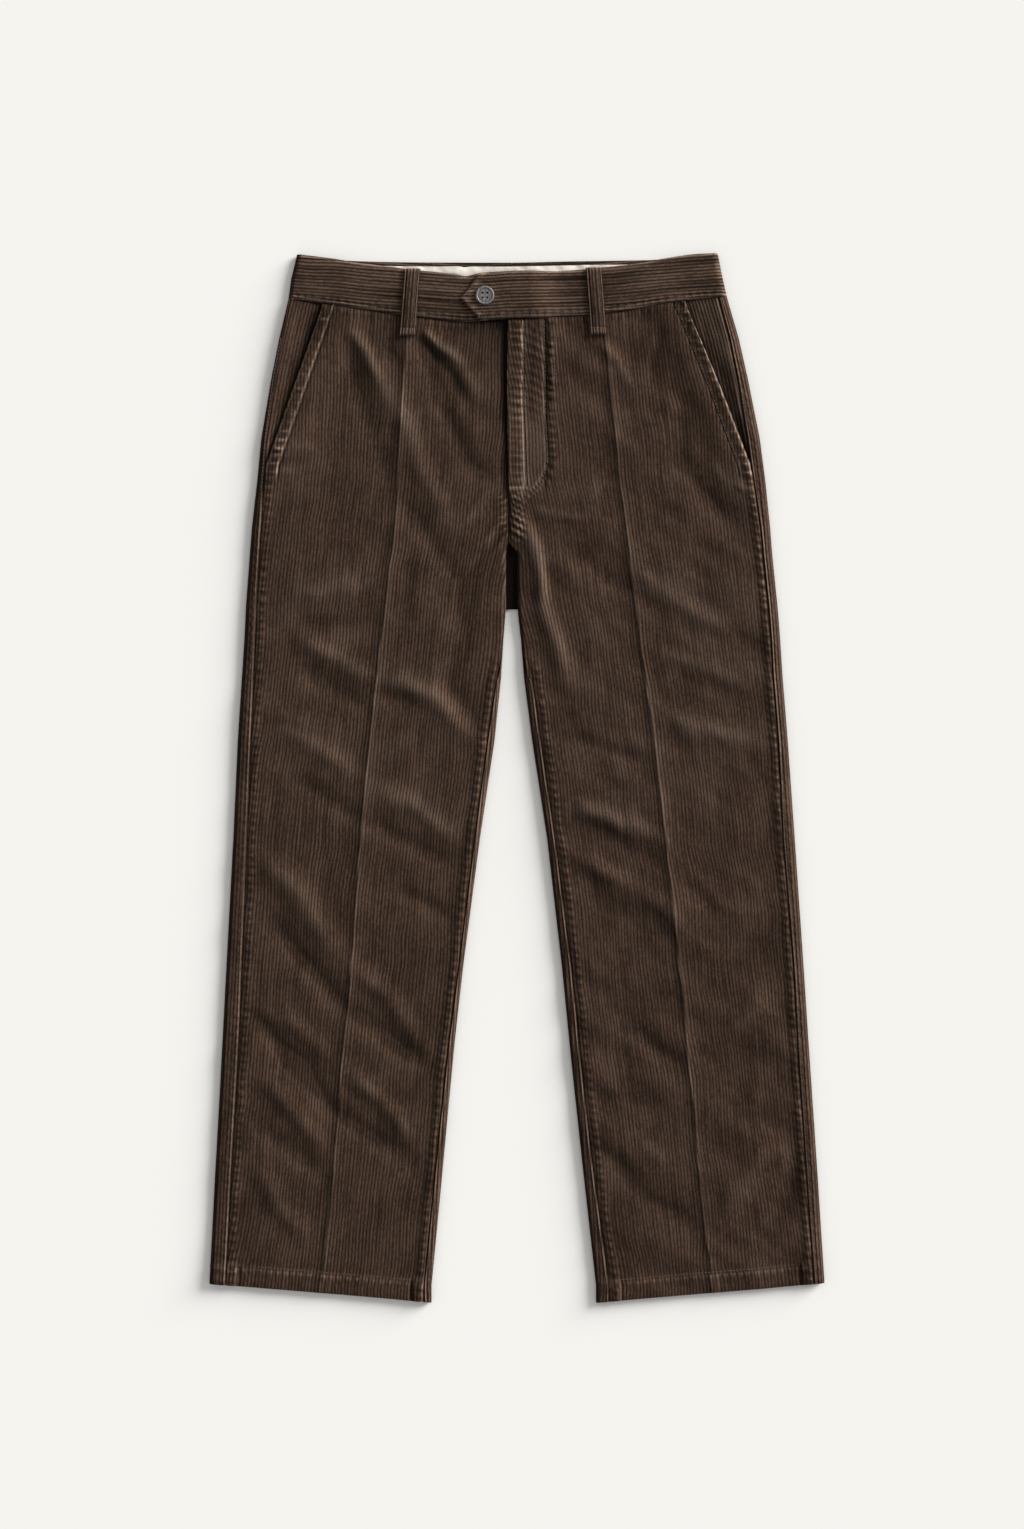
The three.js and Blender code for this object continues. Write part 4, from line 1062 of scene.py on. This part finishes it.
class Shader:
    """A material's node tree, with short calls to add and link its nodes."""

    def __init__(self, name):
        self.material = bpy.data.materials.new(name)
        self.material.use_nodes = True
        self.tree = self.material.node_tree
        self.surface = self.tree.nodes["Principled BSDF"]

    def node(self, kind, **values):
        made = self.tree.nodes.new(kind)
        for key, value in values.items():
            setattr(made, key, value)
        return made

    def link(self, out, into):
        self.tree.links.new(out, into)

    def set(self, socket, value):
        if hasattr(value, "is_linked"):
            self.link(value, socket)
        else:
            socket.default_value = value

    def math(self, operation, a, b=0.0, c=0.0):
        made = self.node("ShaderNodeMath", operation=operation)
        for socket, value in zip(made.inputs, (a, b, c)):
            self.set(socket, value)
        return made.outputs[0]

    def attribute(self, name, output="Fac"):
        return self.node("ShaderNodeAttribute", attribute_name=name).outputs[output]

    def noise(self, vector, scale, detail=2.0, rough=0.5):
        made = self.node("ShaderNodeTexNoise")
        self.link(vector, made.inputs["Vector"])
        made.inputs["Scale"].default_value = scale
        made.inputs["Detail"].default_value = detail
        made.inputs["Roughness"].default_value = rough
        return made.outputs["Fac"]

    def stretched(self, across, along, share):
        """A place on the cloth, drawn out along the ribs."""
        made = self.node("ShaderNodeCombineXYZ")
        self.link(across, made.inputs[0])
        self.link(self.math("MULTIPLY", along, share), made.inputs[1])
        return made.outputs[0]

    def blend(self, factor, a, b):
        made = self.node("ShaderNodeMix", data_type="RGBA")
        self.set(made.inputs[0], factor)
        self.set(made.inputs[6], a)
        self.set(made.inputs[7], b)
        return made.outputs[2]

    def ramp(self, value, low, high, out_low=0.0, out_high=1.0):
        made = self.node("ShaderNodeMapRange")
        self.set(made.inputs["Value"], value)
        made.inputs["From Min"].default_value = low
        made.inputs["From Max"].default_value = high
        made.inputs["To Min"].default_value = out_low
        made.inputs["To Max"].default_value = out_high
        return made.outputs["Result"]

    def place_in(self):
        return self.node("ShaderNodeTexCoord").outputs["Object"]

    def waves(self, direction, **values):
        """Bands across the object."""
        made = self.node("ShaderNodeTexWave", wave_type="BANDS", bands_direction=direction)
        self.link(self.place_in(), made.inputs["Vector"])
        for key, value in values.items():
            made.inputs[key].default_value = value
        return made.outputs["Fac"]

    def finish(self, colour, values):
        """Gives the surface its colour, from a node or plain, and its other values by name."""
        self.set(self.surface.inputs["Base Color"], colour)
        for key, value in values.items():
            self.surface.inputs[key].default_value = value
        return self.material

    def bump(self, height, distance, strength=1.0):
        made = self.node("ShaderNodeBump")
        made.inputs["Strength"].default_value = strength
        made.inputs["Distance"].default_value = distance
        self.link(height, made.inputs["Height"])
        self.link(made.outputs["Normal"], self.surface.inputs["Normal"])


def linear(red, green, blue):
    """Screen values from 0 to 255 as a colour for a shader."""
    def one(value):
        value /= 255
        return value / 12.92 if value <= 0.04045 else ((value + 0.055) / 1.055) ** 2.4
    return (one(red), one(green), one(blue), 1.0)


# The valley colour is painted shade between the ribs; the pale colour serves both rubbed wear and painted
# highlights
PAINTED_VALLEY_SHADE = linear(21, 12, 5)
NAP = linear(77, 60, 50)
BAND_NAP = linear(93, 75, 64)
PALE_WEAR_AND_HIGHLIGHT = linear(131, 113, 100)


def corduroy_material(name, nap, streak, strand_width, thinness):
    s = Shader(name)
    grain = s.attribute("grain", "Vector")
    parts = s.node("ShaderNodeSeparateXYZ")
    s.link(grain, parts.inputs[0])
    across, along = parts.outputs[0], parts.outputs[1]
    # The ribs, as in the mesh: a thin pale ridge between valleys painted dark as shade
    sway = s.math("MULTIPLY", s.noise(s.stretched(across, along, 0.5), 0.4, 2.0), 0.9)
    wave = s.math("ABSOLUTE", s.math("SINE", s.math("MULTIPLY", s.math("ADD", across, sway), math.pi / WALE)))
    rib = s.math("POWER", wave, RIB_POWER)
    ridge = s.math("POWER", wave, thinness)
    # Each rib is paler or darker than the next, and changes slowly along itself
    strands = s.noise(s.stretched(across, along, 0.03), 1 / strand_width, 2.0, 0.6)
    broken = s.noise(s.stretched(across, along, 0.22), 0.75, 2.0, 0.6)
    patches = s.noise(s.stretched(across, along, 0.6), 0.03, 3.0, 0.6)
    # Brushed fibres run along the ribs
    fibres = s.noise(s.stretched(across, along, 0.45), 1.3, 3.0, 0.7)
    soft = s.math("ADD", s.math("MULTIPLY", ridge, s.ramp(broken, 0.3, 0.7, 0.25, 1.25)), 0.12)
    body = s.math("MULTIPLY", soft, s.ramp(fibres, 0.3, 0.7, 0.5, 1.5))
    mottled = s.ramp(patches, 0.3, 0.7, 0.62, 1.38)
    shade = s.math("MULTIPLY", mottled, s.ramp(strands, 0.3, 0.7, 1 - streak, 1 + streak))
    colour = s.blend(s.math("MULTIPLY", body, shade), PAINTED_VALLEY_SHADE, nap)
    # Rubbed wear and painted highlights blend the colour towards the pale one
    worn = s.attribute("worn")
    bars = s.math("MULTIPLY", s.ramp(fibres, 0.3, 0.7, 0.45, 1.15), s.ramp(ridge, 0.0, 1.0, 0.25, 1.3))
    rubbed = s.math("MULTIPLY", s.ramp(worn, 0.0, 1.0), bars)
    colour = s.blend(rubbed, colour, PALE_WEAR_AND_HIGHLIGHT)
    # Painted light: the colour is painted paler where the surface leans to the light and darker where it
    # leans away, and painted darker as shade in the folds of seams and on inner faces
    painted_light_by_lean = s.ramp(s.attribute("lean"), -0.3, 0.3, 0.3, 1.85)
    painted_light_tone = s.math("MULTIPLY", painted_light_by_lean, s.ramp(worn, -2.0, 0.0, 0.08, 1.0))
    toned = s.node("ShaderNodeVectorMath", operation="SCALE")
    s.link(colour, toned.inputs[0])
    s.link(painted_light_tone, toned.inputs["Scale"])
    height = s.math("ADD", s.math("MULTIPLY", rib, 0.5), s.math("MULTIPLY", fibres, 0.55))
    s.bump(height, 0.0005, 0.8)
    return s.finish(toned.outputs[0], {
        "Roughness": 0.92, "Specular IOR Level": 0.08, "Sheen Weight": 0.16, "Sheen Roughness": 0.45,
        "Sheen Tint": linear(168, 140, 120),
    })


# The inside of the cloth, painted near-black as the shade between the legs
def painted_shade_inside_material():
    s = Shader("corduroy_inside")
    weave = s.noise(s.place_in(), 900, 3.0)
    s.bump(weave, 0.0003, 0.5)
    colour = s.blend(weave, linear(9, 7, 5), linear(20, 16, 13))
    return s.finish(colour, {"Roughness": 1.0, "Specular IOR Level": 0.05})


def lining_material():
    s = Shader("lining_cream")
    s.bump(s.waves("DIAGONAL", Scale=900, Distortion=1.5), 0.0002, 0.5)
    cloudy = s.ramp(s.noise(s.place_in(), 90, 3.0), 0.3, 0.7)
    colour = s.blend(cloudy, linear(214, 206, 195), linear(240, 234, 226))
    return s.finish(colour, {"Roughness": 0.8, "Sheen Weight": 0.1})


def button_material():
    s = Shader("button_grey")
    s.bump(s.noise(s.place_in(), 500, 3.0), 0.0001, 0.2)
    swirl = s.waves("X", Scale=90, Distortion=7, Detail=3)
    return s.finish(s.blend(swirl, linear(92, 91, 90), linear(116, 115, 113)), {"Roughness": 0.38})


def thread_material(name, colour):
    s = Shader(name)
    twist = s.noise(s.place_in(), 1800, 2.0)
    s.bump(twist, 0.0001, 0.5)
    darker = tuple(0.7 * c for c in colour[:3]) + (1,)
    return s.finish(s.blend(twist, darker, colour), {"Roughness": 0.7, "Sheen Weight": 0.1})


# The button: a turned disc with a raised rim and four holes, and the thread through them
BUTTON = {"x": -32.0, "y": 482.0, "radius": 9.35, "height": 2.6, "hole": 1.15, "pitch": 4.7}


def ring_faces(rings, turns, base=0):
    """The faces round a shape of several rings of points, and its two flat ends."""
    faces = []
    for start in range(base, base + (rings - 1) * turns, turns):
        for k in range(turns):
            n = (k + 1) % turns
            faces.append([start + k, start + n, start + turns + n, start + turns + k])
    faces.append([base + k for k in range(turns)][::-1])
    faces.append([base + (rings - 1) * turns + k for k in range(turns)])
    return faces


def make_button(disc_material, thread):
    low = TAB_LOW + BAND + 0.4
    r = BUTTON["radius"]
    profile = [
        (0, 0), (0.8 * r, 0), (0.95 * r, 0.35), (r, 1.1), (0.995 * r, 1.7), (0.95 * r, 2.3), (0.9 * r, 2.6),
        (0.85 * r, 2.58), (0.8 * r, 2.3), (0.76 * r, 1.7), (0.73 * r, 1.2), (0.7 * r, 1.15), (0.66 * r, 1.5),
        (0.6 * r, 1.75), (0.45 * r, 1.55), (0.3 * r, 1.35), (0, 1.3),
    ]
    turns = 72
    points = []
    for radius, z in profile[1:-1]:
        for k in range(turns):
            angle = 2 * math.pi * k / turns
            x, y = radius * math.cos(angle), radius * math.sin(angle)
            points.append((x + BUTTON["x"], y + BUTTON["y"], z + low))
    disc = new_piece("button_disc", points, ring_faces(len(profile) - 2, turns))
    spots = [(sx * BUTTON["pitch"] / 2, sy * BUTTON["pitch"] / 2) for sx in (-1, 1) for sy in (-1, 1)]
    for x, y in spots:
        bpy.ops.mesh.primitive_cylinder_add(
            vertices=24, radius=BUTTON["hole"] * MM, depth=12 * MM,
            location=((BUTTON["x"] + x) * MM, (BUTTON["y"] + y) * MM, low * MM),
        )
        drill = bpy.context.object
        cut = disc.modifiers.new("hole", "BOOLEAN")
        cut.operation, cut.object, cut.solver = "DIFFERENCE", drill, "EXACT"
        bpy.context.view_layer.objects.active = disc
        bpy.ops.object.modifier_apply(modifier=cut.name)
        bpy.data.objects.remove(drill)
    disc.data.polygons.foreach_set("use_smooth", [True] * len(disc.data.polygons))
    disc.data.set_sharp_from_angle(angle=math.radians(40))
    place(disc, disc_material, "button", "button")
    # Two bars of dark thread under the holes, down through the buttonhole
    bars = []
    for sy in (-1, 1):
        y = BUTTON["y"] + sy * BUTTON["pitch"] / 2
        span = BUTTON["pitch"] / 2
        bars.append([(BUTTON["x"] - span, y, low - 0.1), (BUTTON["x"] + span, y, low - 0.1)])
    shank = [(BUTTON["x"], BUTTON["y"], low + 0.6), (BUTTON["x"], BUTTON["y"], BAND_LOW + BAND + 0.5)]
    for name, lines, radius in (("button_thread", bars, 0.55), ("button_shank", [shank], 1.1)):
        place(joined_tubes(name, lines, radius), thread, "corduroy")


def joined_tubes(name, lines, radius):
    """Short round bars along lines of points, joined in one mesh."""
    points, faces = [], []
    sides = 8
    for line in lines:
        path = np.array(line, float)
        path = np.array([mix(path[0], path[-1], t) for t in (0, 0.12, 0.5, 0.88, 1)])
        sizes = (0.45, 1, 1, 1, 0.45)
        along = path[-1] - path[0]
        along = along / np.linalg.norm(along)
        up = np.array([0, 0, 1.0]) if abs(along[2]) < 0.9 else np.array([1.0, 0, 0])
        first = np.cross(along, up)
        first = first / np.linalg.norm(first)
        second = np.cross(first, along)
        base = len(points)
        for p, size in zip(path, sizes):
            for k in range(sides):
                angle = 2 * math.pi * k / sides
                points.append(p + radius * size * (first * math.cos(angle) + second * math.sin(angle)))
        faces += ring_faces(len(sizes), sides, base)
    return new_piece(name, points, faces)


# Stitching


STITCH = {"length": 2.9, "gap": 0.9, "radius": 0.32}


def walk(path, spacing):
    """Points and directions at even spacing along a path."""
    path = np.array(path, float)
    along = np.concatenate([[0], np.cumsum(np.hypot(*np.diff(path, axis=0).T))])
    at = np.arange(spacing / 2, along[-1], spacing)
    points = np.stack([np.interp(at, along, path[:, k]) for k in range(2)], -1)
    ahead = np.stack([np.interp(at + 0.5, along, path[:, k]) for k in range(2)], -1)
    behind = np.stack([np.interp(at - 0.5, along, path[:, k]) for k in range(2)], -1)
    way = ahead - behind
    return points, way / np.linalg.norm(way, axis=1, keepdims=True)


def stitches(name, paths, height, material):
    """Rows of small thread stitches lying in the cloth along the paths."""
    rng = np.random.default_rng(len(name))
    ends = []
    for path in paths:
        points, way = walk(path, STITCH["length"] + STITCH["gap"])
        half_length = STITCH["length"] / 2
        a, b = points - way * half_length, points + way * half_length
        za, zb = height(a[:, 0], a[:, 1]), height(b[:, 0], b[:, 1])
        lift = rng.uniform(-0.05, 0.08, len(points))
        ends += [[(*p, zp + h), (*q, zq + h)] for p, zp, q, zq, h in zip(a, za, b, zb, lift)]
    place(joined_tubes(name, ends, STITCH["radius"]), material, "corduroy")


def front_surface(half):
    def height(x, y):
        return front_height(half, x, y) + seam_marks(half, x, y).relief + 0.25
    return height


def seam_line(half, key, offset, low, high):
    ys = np.linspace(high, low, 120)
    return [(float(getattr(half, key)(y)) + offset, float(y)) for y in ys]


def hem_line(half, above, inset):
    start = float(half.inseam(-500)) + half.side * inset
    end = float(half.outseam(-490)) - half.side * inset
    xs = np.linspace(start, end, 60)
    return [(float(x), float(half.hem(x)) + above) for x in xs]


def make_stitching(thread):
    for half in (RIGHT, LEFT):
        side = half.side
        mouth = seam_line(half, "mouth", -side * 12, MOUTH_FOOT + 4, 474)
        near_edge = seam_line(half, "mouth", -side * 2.0, MOUTH_FOOT + 2, 474)
        hem = hem_line(half, HEM_DEPTH, 1)
        stitches(f"stitches_front_{half.name}", [mouth, near_edge, hem], front_surface(half), thread)
        strip = [seam_line(half, "outseam", side * 1.9, -480, 440)]

        def strip_top(x, y, half=half):
            return strip_height(half, x, y) + 0.3

        stitches(f"stitches_outseam_{half.name}", strip, strip_top, thread)
    stitches("stitches_fly", [FLY_INNER, FLY_OUTER, FLY_EXTRA], front_surface(LEFT), thread)
    tab = [
        (float(tab_end(v)) + 3.2 + 1.0 * abs(v - 0.5), float(mix(band_lower(-40), band_front_top(-40), v)))
        for v in (0.07, 0.5, 0.93)
    ]
    corner_low, corner_high = tab[0], tab[-1]
    under = [(x, float(band_lower(x)) + BAND_STITCH) for x in np.linspace(corner_low[0], 205, 160)]
    over = [(x, float(band_front_top(x)) - 3.0) for x in np.linspace(corner_high[0], -12, 12)]

    def tab_top(x, y):
        return tab_low(x) + BAND + 0.1

    stitches("stitches_waistband_left", [tab, under, over], tab_top, thread)
    right_band = [(x, float(band_lower(x)) + BAND_STITCH) for x in np.linspace(-50, -224, 100)]

    def band_top(x, y):
        return BAND_LOW + BAND + 0.1 + 0 * x

    stitches("stitches_waistband_right", [right_band], band_top, thread)


# The studio


SKY = 0.51
KEY = 5.7
KEY_RISE = 18.0  # degrees above the floor


def make_studio():
    bpy.ops.mesh.primitive_plane_add(size=8, location=(0, 0, 0))
    floor = bpy.context.object
    floor.name = "floor"
    s = Shader("floor_pale")
    pale = s.finish((0.86, 0.855, 0.835, 1), {"Roughness": 0.9, "Specular IOR Level": 0.1})
    floor.data.materials.append(pale)
    world = bpy.data.worlds.new("studio")
    world.use_nodes = True
    world.node_tree.nodes["Background"].inputs[0].default_value = (1.0, 0.995, 0.985, 1)
    world.node_tree.nodes["Background"].inputs[1].default_value = SKY
    bpy.context.scene.world = world
    # One low, even light with soft edges, from the waist end and the wearer's left
    data = bpy.data.lights.new("key", "SUN")
    data.energy, data.angle = KEY, math.radians(34)
    data.color = (1.0, 0.985, 0.96)
    lamp = bpy.data.objects.new("key", data)
    turn = math.atan2(LIGHT_SIDE[1], LIGHT_SIDE[0]) + math.pi / 2
    lamp.rotation_euler = (math.radians(90 - KEY_RISE), 0, turn)
    lamp.location = (1.9, 1.25, 1.15)
    bpy.context.collection.objects.link(lamp)


PHOTO_MIDDLE = (-5.0, 13.5)  # the point of the row frame in the middle of the picture
PHOTO_HEIGHT = 1529.0  # how much of the floor the picture's long side covers
CAMERA_HEIGHT = 3000.0
SENSOR = 36.0


def make_camera():
    data = bpy.data.cameras.new("camera")
    data.sensor_width = SENSOR
    data.lens = SENSOR * CAMERA_HEIGHT / PHOTO_HEIGHT
    camera = bpy.data.objects.new("camera", data)
    camera.location = (PHOTO_MIDDLE[0] * MM, PHOTO_MIDDLE[1] * MM, (CAMERA_HEIGHT + REST_HEIGHT) * MM)
    bpy.context.collection.objects.link(camera)
    bpy.context.scene.camera = camera


bpy.context.scene.view_settings.view_transform = "Standard"
make_camera()
make_studio()
corduroy = corduroy_material("corduroy_brown", NAP, 0.5, 2.4, 1.8)
band_corduroy = corduroy_material("corduroy_waistband", BAND_NAP, 0.95, 4.5, 3.2)
painted_shade_inside = painted_shade_inside_material()
lining = lining_material()
thread = thread_material("thread_brown", linear(88, 71, 59))
dark_thread = thread_material("thread_dark", linear(30, 26, 24))
for half in (RIGHT, LEFT):
    make_front(half, corduroy)
    make_back(half, corduroy, painted_shade_inside)
    make_facing(half, corduroy)
make_band(LEFT, tab_end, tab_low, band_corduroy)
make_band(RIGHT, plain_end, plain_low, band_corduroy)
make_lining(lining)
make_underlap(corduroy)
make_loop(RIGHT, -104.5, -5.3, band_corduroy)
make_loop(LEFT, 76.5, 5.0, band_corduroy)
make_button(button_material(), dark_thread)
make_stitching(thread)
